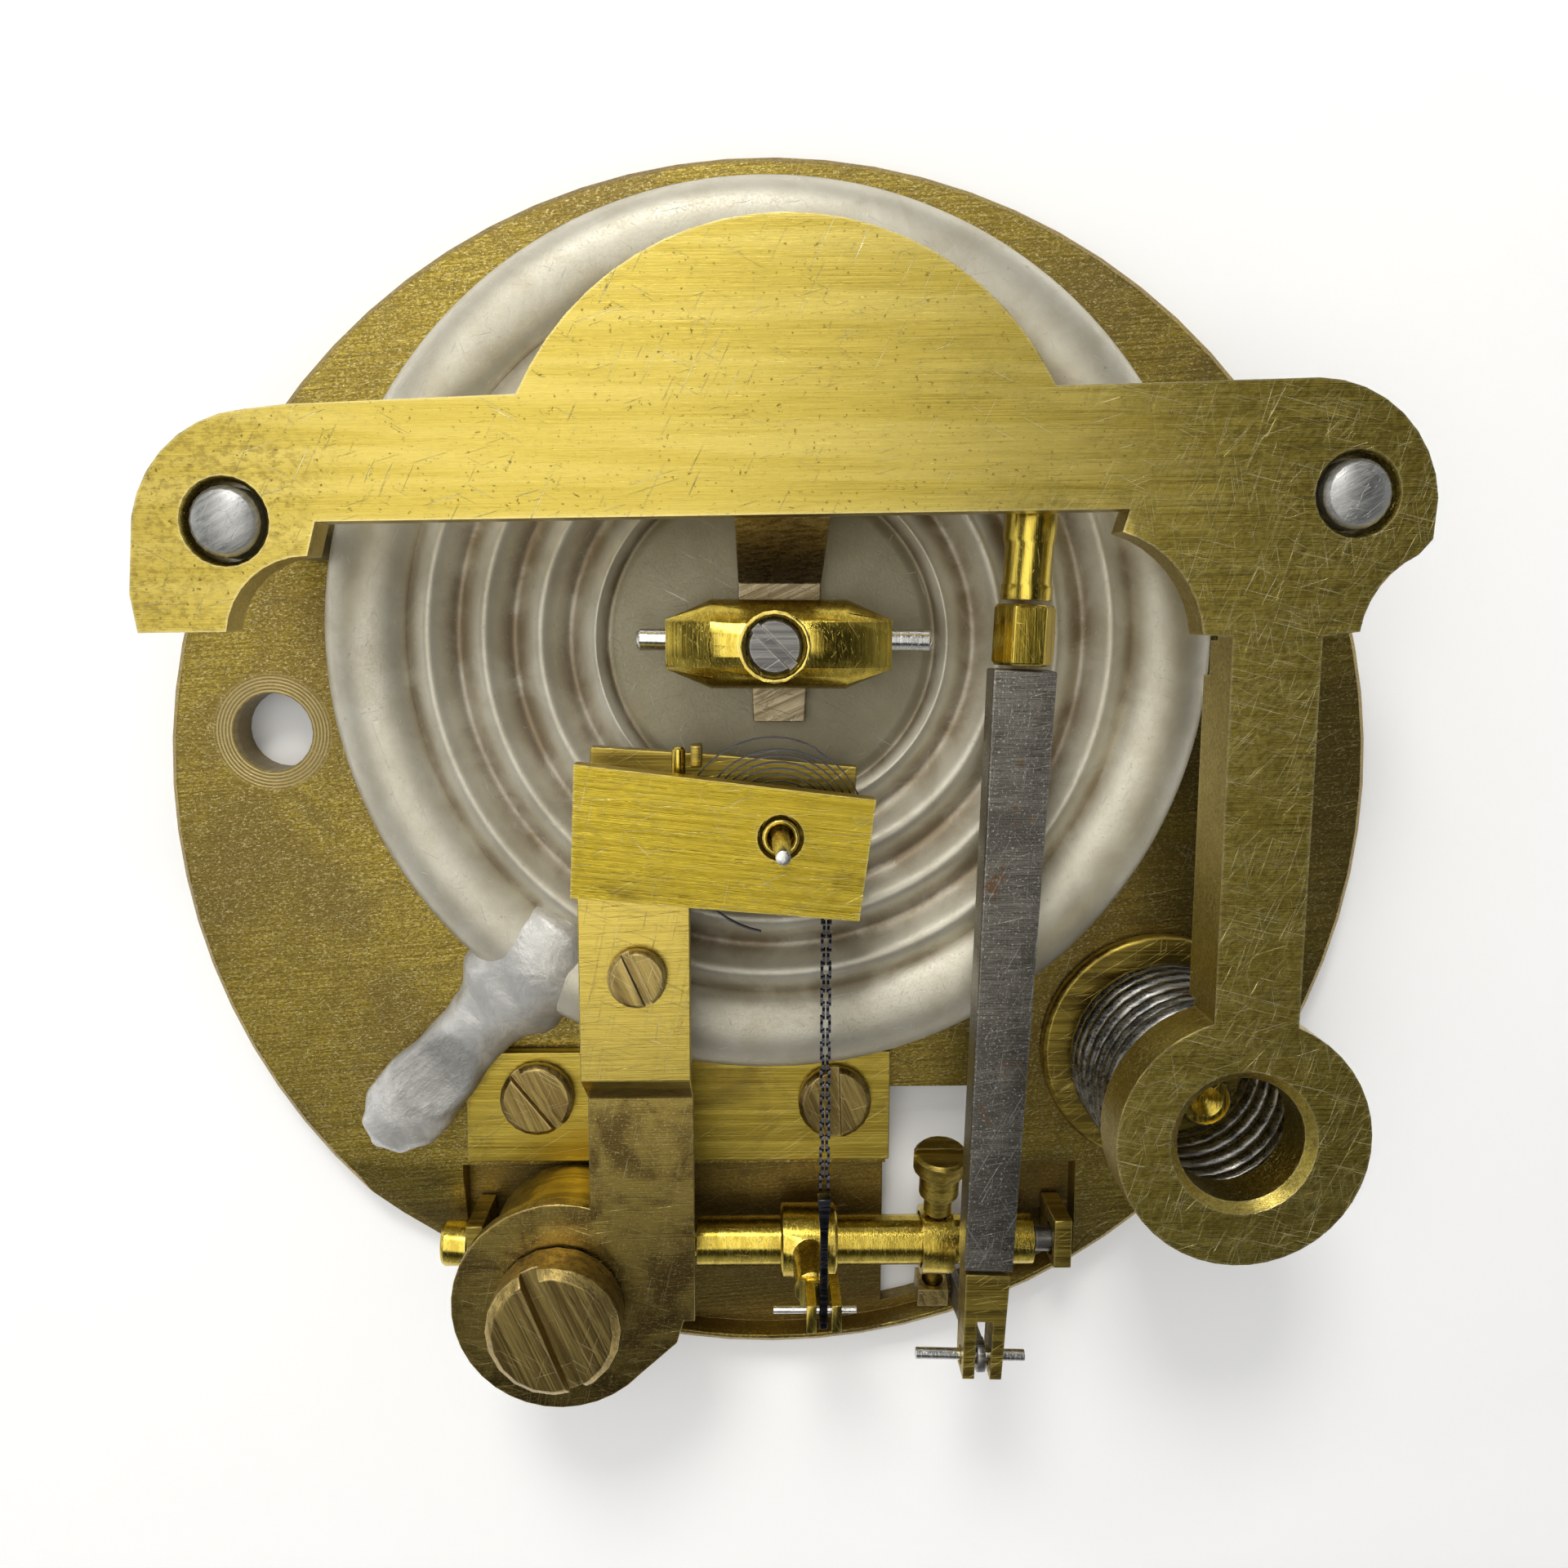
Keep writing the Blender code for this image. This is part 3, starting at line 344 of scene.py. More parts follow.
def worn_metal(name, light, dark, roughness, brush=0.0, brushing=0.5, scratch=0.5, stain=0.4,
               speckle=0.3, edge=(0.9, 0.78, 0.42), wear=0.5, stain_scale=0.12, anisotropy=0.4,
               stain_colour=(0.16, 0.10, 0.035), depth=0.03, shift=0.0, fine=7.0):
    """Brushed, scratched and stained metal. Angles in degrees; the shares run from 0 to 1."""
    metal = Metal(name, roughness, anisotropy)
    lines = metal.cloud((0.10, fine, fine), brush, 4.0, 0.7, 0.0, shift)
    bands = metal.cloud((0.05, fine * 0.22, fine * 0.22), brush, 2.0, 0.5, 0.0, shift + 7)
    grain = metal.times(lines, bands)
    colour = metal.blend(metal.between(grain, 0.16, 0.34), dark, light)
    blot = metal.cloud((stain_scale,) * 3, 0, 6.0, 0.62, 0.6, shift + 3)
    share = metal.between(blot, 0.62 - 0.25 * stain, 0.78 - 0.2 * stain, 0.0, 0.25 + 0.6 * stain)
    colour = metal.blend(share, colour, stain_colour)
    spots = metal.cloud((2.6, 2.6, 2.6), 0, 5.0, 0.75, 0.0, shift + 11)
    dots = metal.between(spots, 0.72 - 0.14 * speckle, 0.78 - 0.14 * speckle, 0.0, 0.75)
    colour = metal.blend(dots, colour, stain_colour)
    marks = metal.scratches(brush + 33, shift=shift + 1)
    for turn, rarity in ((brush - 41, 0.69), (brush + 84, 0.71), (brush + 8, 0.67)):
        more = metal.scratches(turn, rarity=rarity + 0.05 - 0.08 * scratch, shift=shift + turn)
        marks = metal.larger(marks, more)
    marks = metal.times(marks, scratch)
    colour = metal.blend(marks, colour, edge)
    rim = metal.times(metal.edges(0.3), wear)
    colour = metal.blend(rim, colour, edge)
    rough = metal.between(lines, 0.3, 0.7, roughness - 0.07, roughness + 0.09)
    rough = metal.plus(rough, metal.times(dots, 0.25))
    height = metal.minus(metal.times(lines, brushing), metal.times(marks, 0.8))
    height = metal.minus(height, metal.times(dots, 0.4))
    if anisotropy:
        turn = math.radians(brush)
        metal.tangent((math.cos(turn), math.sin(turn), 0.0))
    return metal.finish(colour, rough, height, depth)


def lathe_ring_marks(metal, centre, low, high, pitch):
    """Fine turned rings round a vertical axis between two radii, and where they lie."""
    distance = metal.distance(centre)
    waves = metal.sine(metal.times(distance, TAU / pitch))
    inside = metal.times(metal.between(distance, low - 0.15, low + 0.15),
                         metal.between(distance, high + 0.3, high - 0.3))
    return metal.times(metal.between(waves, -1.0, 1.0), inside), inside


LEVER_BRASS = dict(light=(0.76, 0.58, 0.10), dark=(0.52, 0.38, 0.055), edge=(0.92, 0.80, 0.38))
OLD_BRASS = dict(light=(0.56, 0.42, 0.08), dark=(0.28, 0.20, 0.04), edge=(0.82, 0.68, 0.26))
DARK_BRASS = dict(light=(0.54, 0.40, 0.13), dark=(0.26, 0.18, 0.06), edge=(0.88, 0.72, 0.36))
GREY_STEEL = dict(light=(0.30, 0.29, 0.27), dark=(0.13, 0.125, 0.12), edge=(0.80, 0.78, 0.72))


def scratch_field(metal, turns, rarity, width=9.0, length=0.2):
    """Several families of thin scratches in one field."""
    marks = metal.scratches(turns[0], width, length, rarity)
    for turn in turns[1:]:
        marks = metal.larger(marks, metal.scratches(turn, width, length, rarity, turn))
    return marks


def lever_brass():
    """Brushed brass with a mild olive patina, partly a painted dark reflection, towards the right and the
    ring, and more scratches there.
    """
    metal = Metal("lever_brass", 0.32, 0.45)
    x = metal.along("X")
    y = metal.along("Y")
    drift = metal.cloud((0.07,) * 3, 0, 5.0, 0.6, 0.5)
    fine = metal.cloud((0.12, 16.0, 16.0), 1, 4.0, 0.7)
    broad = metal.cloud((0.03, 0.6, 0.6), 0, 3.0, 0.5, 0.2, 5)
    colour = metal.blend(metal.between(fine, 0.36, 0.64), (0.50, 0.38, 0.065), (0.76, 0.59, 0.125))
    colour = metal.blend(metal.between(broad, 0.42, 0.62, 0.0, 0.4), colour, (0.84, 0.68, 0.20))
    wander = metal.plus(x, metal.between(drift, 0.2, 0.8, -9.0, 9.0))
    # Darker olive towards the right and the low side with the ring: partly patina, partly a painted dark
    # reflection.
    right = metal.between(wander, 11.0, 27.0)
    low = metal.between(y, -6.0, -15.0)
    patina_and_dark_reflection = metal.larger(right, low)
    streak = metal.between(metal.cloud((0.5, 3.0, 3.0), 64, 4.0, 0.6, 0.4, 8), 0.3, 0.65, 0.55, 1.0)
    patina_and_dark_reflection = metal.times(patina_and_dark_reflection, streak)
    colour = metal.blend(metal.times(patina_and_dark_reflection, 0.35), colour, (0.34, 0.27, 0.055))
    left = metal.between(wander, -29.0, -39.0)
    brown = metal.cloud((1.7, 2.6, 2.6), 0, 6.0, 0.72, 0.0, 2)
    colour = metal.blend(metal.times(left, metal.between(brown, 0.45, 0.62, 0.05, 0.6)), colour,
                         (0.26, 0.18, 0.04))
    mottle = metal.between(metal.cloud((2.1, 3.4, 3.4), 30, 6.0, 0.75, 0.3, 17), 0.44, 0.58)
    # Darker mottling in that same zone: partly patina, partly a painted dark reflection.
    colour = metal.blend(metal.times(metal.times(mottle, patina_and_dark_reflection), 0.6), colour, (0.22, 0.165, 0.035))
    pits = metal.between(metal.cloud((3.2,) * 3, 0, 4.0, 0.7, 0.0, 12), 0.62, 0.66)
    colour = metal.blend(metal.times(pits, 0.7), colour, (0.15, 0.10, 0.02))
    few = scratch_field(metal, (64, 18, -28), 0.735)
    many = scratch_field(metal, (74, 47, 101, -14), 0.69, 15.0, 0.2)
    marks = metal.larger(few, metal.times(many, patina_and_dark_reflection))
    colour = metal.blend(metal.times(marks, 0.85), colour, (0.97, 0.86, 0.48))
    colour = metal.blend(metal.times(metal.edges(0.3), 0.7), colour, (0.98, 0.86, 0.46))
    rough = metal.plus(metal.between(fine, 0.36, 0.64, 0.25, 0.37), metal.times(pits, 0.2))
    metal.tangent((1.0, 0.0, 0.0))
    height = metal.minus(metal.times(fine, 0.5), metal.times(marks, 0.9))
    return metal.finish(colour, rough, height, 0.03)


def bracket_brass():
    """Brushed brass strap, with darker brown and specks on the foot below the bend: partly stains, partly a
    painted dark reflection.
    """
    metal = Metal("bracket_brass", 0.30, 0.3)
    z = metal.along("Z")
    fine = metal.cloud((0.15, 14.0, 14.0), 1, 4.0, 0.7)
    blot = metal.cloud((0.22,) * 3, 0, 6.0, 0.65, 0.6, 3)
    specks = metal.between(metal.cloud((5.5,) * 3, 0, 4.0, 0.7, 0.0, 6), 0.57, 0.62)
    bright = metal.blend(metal.between(fine, 0.36, 0.64), (0.46, 0.34, 0.065), (0.76, 0.59, 0.13))
    brown = metal.blend(metal.between(blot, 0.4, 0.6), (0.18, 0.12, 0.035), (0.42, 0.31, 0.08))
    brown = metal.blend(metal.times(specks, 0.55), brown, (0.78, 0.63, 0.30))
    # The foot's darker brown is partly stains and partly a painted dark reflection.
    foot = metal.between(z, 18.9, 17.6)
    colour = metal.blend(foot, bright, brown)
    marks = scratch_field(metal, (8, -20, 78), 0.69, 14.0)
    colour = metal.blend(metal.times(marks, 0.45), colour, (0.88, 0.74, 0.36))
    colour = metal.blend(metal.times(metal.edges(0.25), 0.6), colour, (0.80, 0.64, 0.26))
    rough = metal.between(fine, 0.3, 0.7, 0.25, 0.36)
    metal.tangent((1.0, 0.0, 0.0))
    height = metal.minus(metal.times(fine, 0.4), metal.times(marks, 0.7))
    return metal.finish(colour, rough, height, 0.02)


def arm_steel():
    """Ground grey steel with fine cross lines, sparkles and a few rust spots."""
    metal = Metal("arm_steel", 0.38, 0.2)
    fine = metal.cloud((0.5, 22.0, 6.0), 0, 4.0, 0.7)
    long = metal.cloud((16.0, 0.12, 6.0), 0, 3.0, 0.6, 0.1, 4)
    blot = metal.cloud((0.14,) * 3, 0, 5.0, 0.6, 0.5, 2)
    colour = metal.blend(metal.between(fine, 0.38, 0.62), (0.13, 0.12, 0.10), (0.36, 0.335, 0.285))
    colour = metal.blend(metal.between(long, 0.58, 0.68, 0.0, 0.35), colour, (0.50, 0.49, 0.46))
    colour = metal.blend(metal.between(blot, 0.46, 0.6, 0.0, 0.55), colour, (0.11, 0.10, 0.085))
    sparkle = metal.between(metal.cloud((5.0,) * 3, 0, 3.0, 0.7, 0.0, 9), 0.60, 0.635)
    colour = metal.blend(metal.times(sparkle, 0.8), colour, (0.85, 0.83, 0.78))
    rust = metal.between(metal.cloud((0.5, 0.3, 0.5), 0, 5.0, 0.7, 0.4, 21), 0.60, 0.66, 0.0, 0.7)
    colour = metal.blend(rust, colour, (0.26, 0.12, 0.035))
    marks = scratch_field(metal, (62, -58, 84, 12), 0.69, 16.0)
    colour = metal.blend(metal.times(marks, 0.5), colour, (0.72, 0.71, 0.68))
    colour = metal.blend(metal.times(metal.edges(0.2), 0.4), colour, (0.66, 0.65, 0.62))
    rough = metal.plus(metal.between(fine, 0.3, 0.7, 0.30, 0.42), metal.times(rust, 0.3))
    height = metal.minus(metal.times(fine, 0.5), marks)
    return metal.finish(colour, rough, height, 0.012)


def tipped_pipe():
    """The pointer arbor: a brass pipe whose slim upper end shows silver."""
    metal = Metal("pointer_metal", 0.26, 0.0)
    top = span("pointer_arbor")[1].z
    fine = metal.cloud((6.0, 6.0, 0.4), 0, 3.0, 0.6)
    tip = metal.between(metal.along("Z"), top - 3.9, top - 3.5)
    brass = metal.blend(metal.between(fine, 0.3, 0.7), (0.52, 0.39, 0.10), (0.76, 0.60, 0.20))
    colour = metal.blend(tip, brass, (0.74, 0.73, 0.70))
    return metal.finish(colour, metal.between(fine, 0.3, 0.7, 0.22, 0.34), fine, 0.01)


def nickel_silver():
    """Matt white alloy, pickled pale, brown in the grooves (partly oxide, partly painted shade), with a brown
    seam line that is partly tarnish and partly a painted reflection.
    """
    metal = Metal("nickel_silver", 0.56, 0.0, 0.6)
    low = span("capsule_lower")[1].z
    high = span("capsule_upper")[1].z
    blot = metal.cloud((0.25,) * 3, 0, 5.0, 0.6, 0.4)
    fine = metal.cloud((5.0,) * 3, 0, 4.0, 0.7)
    colour = metal.blend(metal.between(blot, 0.3, 0.7), (0.66, 0.61, 0.48), (0.80, 0.765, 0.64))
    distance = metal.distance(middle("capsule_lower"))
    # Brown in the grooves: partly oxide, partly painted shade.
    groove = metal.between(metal.along("Z"), high - 0.35, low + 2.1)
    inner = metal.between(distance, 30.0, 27.0)
    groove_oxide_and_shade = metal.times(metal.times(groove, inner), metal.between(blot, 0.65, 0.4, 0.5, 1.0))
    colour = metal.blend(groove_oxide_and_shade, colour, (0.27, 0.195, 0.11))
    flat = metal.between(distance, 12.9, 12.2, 0.0, 0.85)
    colour = metal.blend(flat, colour, (0.33, 0.30, 0.20))
    wall = metal.between(metal.along("Z"), low + 3.2, low + 1.0)
    outside = metal.between(distance, 32.6, 34.2)
    colour = metal.blend(metal.times(wall, metal.times(outside, 0.75)), colour, (0.36, 0.31, 0.20))
    # A brown line at the seam: partly tarnish, partly a painted reflection.
    above_seam = metal.between(metal.along("Z"), low + 0.5, low + 0.15)
    below_seam = metal.between(metal.along("Z"), low - 0.5, low - 0.15)
    seam_line = metal.times(above_seam, below_seam)
    colour = metal.blend(metal.times(seam_line, 0.7), colour, (0.38, 0.24, 0.13))
    marks = metal.scratches(63, 7.0, 0.3, 0.74)
    for turn in (12, 110, 152):
        marks = metal.larger(marks, metal.scratches(turn, 8.0, 0.25, 0.74, turn))
    colour = metal.blend(metal.times(marks, 0.45), colour, (0.95, 0.94, 0.90))
    spots = metal.cloud((1.6,) * 3, 0, 4.0, 0.7, 0.0, 5)
    dots = metal.between(spots, 0.66, 0.72, 0.0, 0.5)
    colour = metal.blend(dots, colour, (0.36, 0.30, 0.20))
    rough = metal.between(fine, 0.3, 0.7, 0.42, 0.54)
    height = metal.plus(fine, metal.times(blot, 1.2))
    return metal.finish(colour, rough, metal.minus(height, marks), 0.014)


def solder():
    """Pale lumpy tin, rubbed grey on the tail's filed facet."""
    metal = Metal("solder", 0.40, 0.0, 0.6)
    blot = metal.cloud((0.35,) * 3, 0, 5.0, 0.65, 0.8)
    fine = metal.cloud((2.4,) * 3, 0, 6.0, 0.75)
    colour = metal.blend(metal.between(blot, 0.35, 0.65), (0.68, 0.67, 0.64), (0.90, 0.89, 0.85))
    filed = metal.between(metal.distance(rim_point(TAIL_FACET)), 4.4, 3.4)
    strokes = metal.between(metal.cloud((0.5, 5.0, 5.0), 40, 4.0, 0.7), 0.35, 0.65)
    worn = metal.blend(strokes, (0.44, 0.43, 0.40), (0.62, 0.61, 0.58))
    colour = metal.blend(metal.times(filed, 0.9), colour, worn)
    colour = metal.blend(metal.between(fine, 0.60, 0.72, 0.0, 0.4), colour, (0.30, 0.29, 0.27))
    rough = metal.between(fine, 0.3, 0.7, 0.28, 0.55)
    return metal.finish(colour, rough, metal.plus(fine, metal.times(blot, 2.0)), 0.06)


def base_brass():
    """The plate: speckled old brass with turned rings burnished round the case hole."""
    metal = Metal("base_brass", 0.36, 0.35)
    high = span("base_plate")[1]
    lines = metal.cloud((0.12, 5.0, 5.0), 4, 4.0, 0.65)
    blot = metal.cloud((0.06,) * 3, 0, 6.0, 0.62, 0.8)
    grain = metal.cloud((3.2, 6.5, 6.5), 8, 5.0, 0.8, 0.0, 4)
    colour = metal.blend(metal.between(lines, 0.38, 0.62), (0.28, 0.205, 0.035), (0.56, 0.42, 0.075))
    colour = metal.blend(metal.between(blot, 0.42, 0.62, 0.0, 0.75), colour, (0.24, 0.17, 0.055))
    dots = metal.between(grain, 0.45, 0.56, 0.0, 0.75)
    colour = metal.blend(dots, colour, (0.20, 0.145, 0.035))
    bright = metal.between(metal.cloud((4.0, 8.0, 8.0), 8, 4.0, 0.75, 0.0, 9), 0.56, 0.62, 0.0, 0.7)
    colour = metal.blend(bright, colour, (0.86, 0.74, 0.36))
    rings, inside = lathe_ring_marks(metal, CASE_HOLE, 3.2, 4.7, 0.28)
    colour = metal.blend(metal.times(inside, 0.7), colour, (0.34, 0.25, 0.10))
    colour = metal.blend(metal.times(rings, 0.55), colour, (0.80, 0.66, 0.32))
    # A brown tint along the plate's edge: partly tarnish, partly a painted reflection.
    rim = metal.between(metal.distance((0, 0)), high.x - 0.55, high.x - 0.3)
    colour = metal.blend(metal.times(rim, 0.35), colour, (0.38, 0.25, 0.09))
    marks = scratch_field(metal, (28, -35, 75, 12), 0.72, 8.0)
    colour = metal.blend(metal.times(marks, 0.4), colour, (0.88, 0.75, 0.38))
    # Darker brown in the recess: partly tarnish, partly painted shade.
    recess_tarnish_and_shade = metal.between(metal.along("Z"), high.z - 0.5, high.z - 1.2)
    inner = metal.between(metal.distance((0, 0)), 49.4, 49.1)
    colour = metal.blend(metal.times(recess_tarnish_and_shade, metal.times(inner, 0.6)), colour, (0.16, 0.11, 0.04))
    rough = metal.plus(metal.between(lines, 0.3, 0.7, 0.30, 0.42), metal.times(dots, 0.15))
    height = metal.minus(metal.plus(lines, grain), metal.plus(marks, rings))
    return metal.finish(colour, rough, height, 0.02)


def plain_floor():
    """Plain matt pale floor."""
    metal = Metal("floor", 0.85, 0.0, 0.0)
    metal.shader.inputs["Specular IOR Level"].default_value = 0.1
    grain = metal.cloud((0.02,) * 3)
    colour = metal.blend(grain, (0.84, 0.84, 0.84), (0.88, 0.88, 0.88))
    return metal.finish(colour, 0.85, grain, 0.01)


# ---------------------------------------------------------------- capsule

def wave_height(radius, ridge, groove, flat):
    """Height of the upper shell: a flat middle, then waves out to the outer groove."""
    if radius < INNER_GROOVE - WAVE_PITCH / 2:
        return flat
    phase = TAU * (OUTER_GROOVE - radius) / WAVE_PITCH
    swell = (ridge - groove) / 2
    return (ridge + groove) / 2 - swell * math.cos(phase)


def shell_profile(seam, ridge):
    """Upper shell from the middle to the seam, as radius and height."""
    groove = ridge - 1.5
    flat = ridge - 1.4
    outer = 34.9
    points = [(0.01, flat), (6.0, flat), (11.6, flat)]
    points += [(12.3, flat), (12.55, flat - 0.16), (12.8, flat)]
    radius = 13.35
    while radius < OUTER_GROOVE:
        points.append((radius, wave_height(radius, ridge, groove, flat)))
        radius += 0.18
    middle_r = 31.35
    for i in range(27):
        angle = math.radians(180 - 180 * i / 26)
        x = middle_r + (outer - 0.25 - middle_r) * math.cos(angle)
        if angle > math.pi / 2:
            z = groove + (ridge - groove) * math.sin(angle) ** 1.3
        else:
            z = seam + 0.7 + (ridge - seam - 0.7) * math.sin(angle) ** 0.8
        points.append((x, z))
    points += [(outer, seam + 0.62), (outer, seam + 0.16), (outer - 0.3, seam + 0.06)]
    return points


def make_capsule(metal):
    """Both shells: the upper one reaches up to the capsule's top, the lower one is its mirror."""
    low_box = span("capsule_lower")
    high_box = span("capsule_upper")
    centre = middle("capsule_lower")
    seam = (low_box[1].z + high_box[0].z) / 2
    ridge = high_box[1].z
    profile = shell_profile(seam, ridge)
    upper = piece("capsule_top_shell", lathe(profile, SHELL_SEGMENTS, centre, 0.05), metal, None)
    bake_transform(upper)
    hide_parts("capsule_upper")
    mirrored = [(radius, 2 * seam - height) for radius, height in profile]
    mirrored[0:3] = [(1.8, low_box[0].z + 0.3), (1.8, mirrored[0][1]), (11.6, mirrored[2][1])]
    mirrored = [(1.5, low_box[0].z)] + mirrored
    lower = piece("capsule_bottom_shell", lathe(mirrored, SHELL_SEGMENTS, centre, 0.0), metal, "frame")
    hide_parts("capsule_lower")


# ---------------------------------------------------------------- springs and chain

def make_main_spring(metal):
    """Coil spring between the plate and the lever's ring, closer wound towards its ends."""
    low, high = span("main_spring")
    centre = middle("main_spring")
    wire = 0.8
    coil = (high.x - low.x) / 2 - wire
    turns = 7
    steps = 28
    points = []
    bottom = low.z + wire
    rise = high.z - wire - bottom
    for i in range(turns * steps + 1):
        share = i / (turns * steps)
        angle = TAU * i / steps
        height = bottom + rise * (share - 0.05 * math.sin(TAU * share))
        points.append(Vector((centre.x + coil * math.cos(angle), centre.y + coil * math.sin(angle), height)))
    spring = piece("main_spring_coil", tube(points, wire), metal, None)
    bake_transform(spring)
    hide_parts("main_spring")


def make_hairspring(metal):
    """Flat spiral of rectangular ribbon round the pointer arbor."""
    low, high = span("hairspring")
    axis = middle("pointer_arbor")
    turns = 10
    steps = 40
    inner = 1.7
    outer = 6.3
    points = []
    start = math.radians(60)
    for i in range(turns * steps + 1):
        share = i / (turns * steps)
        radius = inner + (outer - inner) * share
        angle = start + TAU * i / steps
        points.append((radius, angle))
    # The last turn swings out to the stud.
    last = points[-1][1]
    for i in range(1, 31):
        share = i / 30
        points.append((outer + 1.4 * share ** 0.6, last + math.radians(200) * share))
    bm = bmesh.new()
    rings = []
    thick = 0.05
    for radius, angle in points:
        out = Vector((math.cos(angle), math.sin(angle), 0))
        ring = []
        for offset, height in ((-thick, low.z), (thick, low.z), (thick, high.z), (-thick, high.z)):
            ring.append(bm.verts.new(Vector((axis.x, axis.y, height)) + out * (radius + offset)))
        rings.append(ring)
    for one, two in zip(rings, rings[1:]):
        for k in range(4):
            j = (k + 1) % 4
            bm.faces.new((one[k], one[j], two[j], two[k]))
    bm.faces.new(rings[0])
    bm.faces.new(rings[-1])
    spring = piece("hairspring_spiral", bm, metal, "frame", smooth=False)
    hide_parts("hairspring")


def chain_link(bm, centre, length, width, thick):
    """One waisted side plate with rounded ends, lying along Y and standing on its edge."""
    outline = []
    half = length / 2
    for i in range(9):
        angle = math.radians(-90 + 180 * i / 8)
        outline.append((half - width / 2 + width / 2 * math.cos(angle), width / 2 * math.sin(angle)))
    outline.append((0.0, width * 0.36))
    for i in range(9):
        angle = math.radians(90 + 180 * i / 8)
        outline.append((-half + width / 2 + width / 2 * math.cos(angle), width / 2 * math.sin(angle)))
    outline.append((0.0, -width * 0.36))
    layers = []
    for side in (-thick / 2, thick / 2):
        layer = []
        for along, across in outline:
            layer.append(bm.verts.new(centre + Vector((side, along, across))))
        layers.append(layer)
    bm.faces.new(layers[0])
    bm.faces.new(layers[1])
    count = len(outline)
    for i in range(count):
        j = (i + 1) % count
        bm.faces.new((layers[0][i], layers[0][j], layers[1][j], layers[1][i]))


def make_chain(metal):
    """Straight run of the chain: pairs of side plates, closer and wider apart in turn."""
    low, high = span("chain")
    centre = (low + high) / 2
    pitch = 1.05
    length = pitch * 1.35
    width = 0.74
    thick = 0.2
    bm = bmesh.new()
    count = int((high.y - low.y) / pitch)
    for i in range(count):
        y = high.y - pitch * (i + 0.5)
        gap = 0.16 if i % 2 else 0.30
        for side in (-1, 1):
            chain_link(bm, Vector((centre.x + side * gap, y, centre.z)), length, width, thick)
    chain = piece("chain_links", bm, metal, "chain", smooth=False)
    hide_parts("chain")


# ---------------------------------------------------------------- exhaust tail

def rim_point(distance):
    """Point on the tail's line at a distance from the capsule's rim, as x and y."""
    angle = math.radians(TAIL_DEG)
    return (TAIL_START[0] + math.cos(angle) * distance, TAIL_START[1] + math.sin(angle) * distance)


def eased(share):
    """Smooth step from 0 to 1."""
    return share * share * (3 - 2 * share)


def along_stations(stations, distance):
    """Read the values between the two stations that lie around a distance."""
    for one, two in zip(stations, stations[1:]):
        if distance <= two[0]:
            share = eased((distance - one[0]) / (two[0] - one[0]))
            return [a + (b - a) * share for a, b in zip(one[1:], two[1:])]
    return list(stations[-1][1:])


def make_tail(metal):
    """Tube drawn out of the capsule's rim, flooded with solder and pinched flat at its end."""
    low = span("exhaust_tail")[0].z
    ridge = span("capsule_upper")[1].z
    angle = math.radians(TAIL_DEG)
    across = Vector((-math.sin(angle), math.cos(angle), 0))
    # distance from the rim, half width, top and bottom heights
    stations = ((-8.6, 0.4, ridge - 1.0, ridge - 3.0), (-7.0, 3.4, ridge + 0.15, ridge - 4.0),
                (-3.5, 5.4, ridge + 0.45, low - 1.0), (0.0, 4.6, ridge - 0.3, low - 1.2),
                (3.4, 3.2, ridge - 2.0, low - 0.6), (6.5, 3.1, ridge - 2.6, low - 0.3),
                (11.0, 3.5, ridge - 2.9, low - 0.1), (14.6, 3.4, ridge - 2.9, low),
                (16.9, 2.3, ridge - 3.2, low + 0.4), (18.0, 0.3, ridge - 4.2, low + 1.6))
    facet_reach = 5.5
    facet_depth = 0.75
    bm = bmesh.new()
    count = 110
    sides = 48
    rings = []
    for i in range(count + 1):
        distance = stations[0][0] + (stations[-1][0] - stations[0][0]) * i / count
        half, top, bottom = along_stations(stations, distance)
        x, y = rim_point(distance)
        flat = eased(max(0.0, min(1.0, 1.0 - abs(distance - TAIL_FACET) / facet_reach)))
        limit = top - facet_depth * flat
        ring = []
        for k in range(sides):
            turn = TAU * k / sides
            sideways = half * math.cos(turn)
            height = (top + bottom) / 2 + (top - bottom) / 2 * math.sin(turn)
            height = min(height, limit)
            point = Vector((x, y, 0)) + across * sideways + Vector((0, 0, height))
            lump = noise.noise(point * 0.35) * 0.35 + noise.noise(point * 0.9) * 0.10
            outward = across * math.cos(turn) + Vector((0, 0, math.sin(turn)))
            ring.append(bm.verts.new(point + outward * lump))
        rings.append(ring)
    for one, two in zip(rings, rings[1:]):
        for k in range(sides):
            j = (k + 1) % sides
            bm.faces.new((one[k], one[j], two[j], two[k]))
    bm.faces.new(rings[0])
    bm.faces.new(rings[-1])
    tail = piece("solder_tail", bm, metal, "frame")
    soften = tail.modifiers.new("soften", "SMOOTH")
    soften.iterations = 4
    soften.factor = 0.5
    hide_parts("exhaust_tail")


# ---------------------------------------------------------------- scene

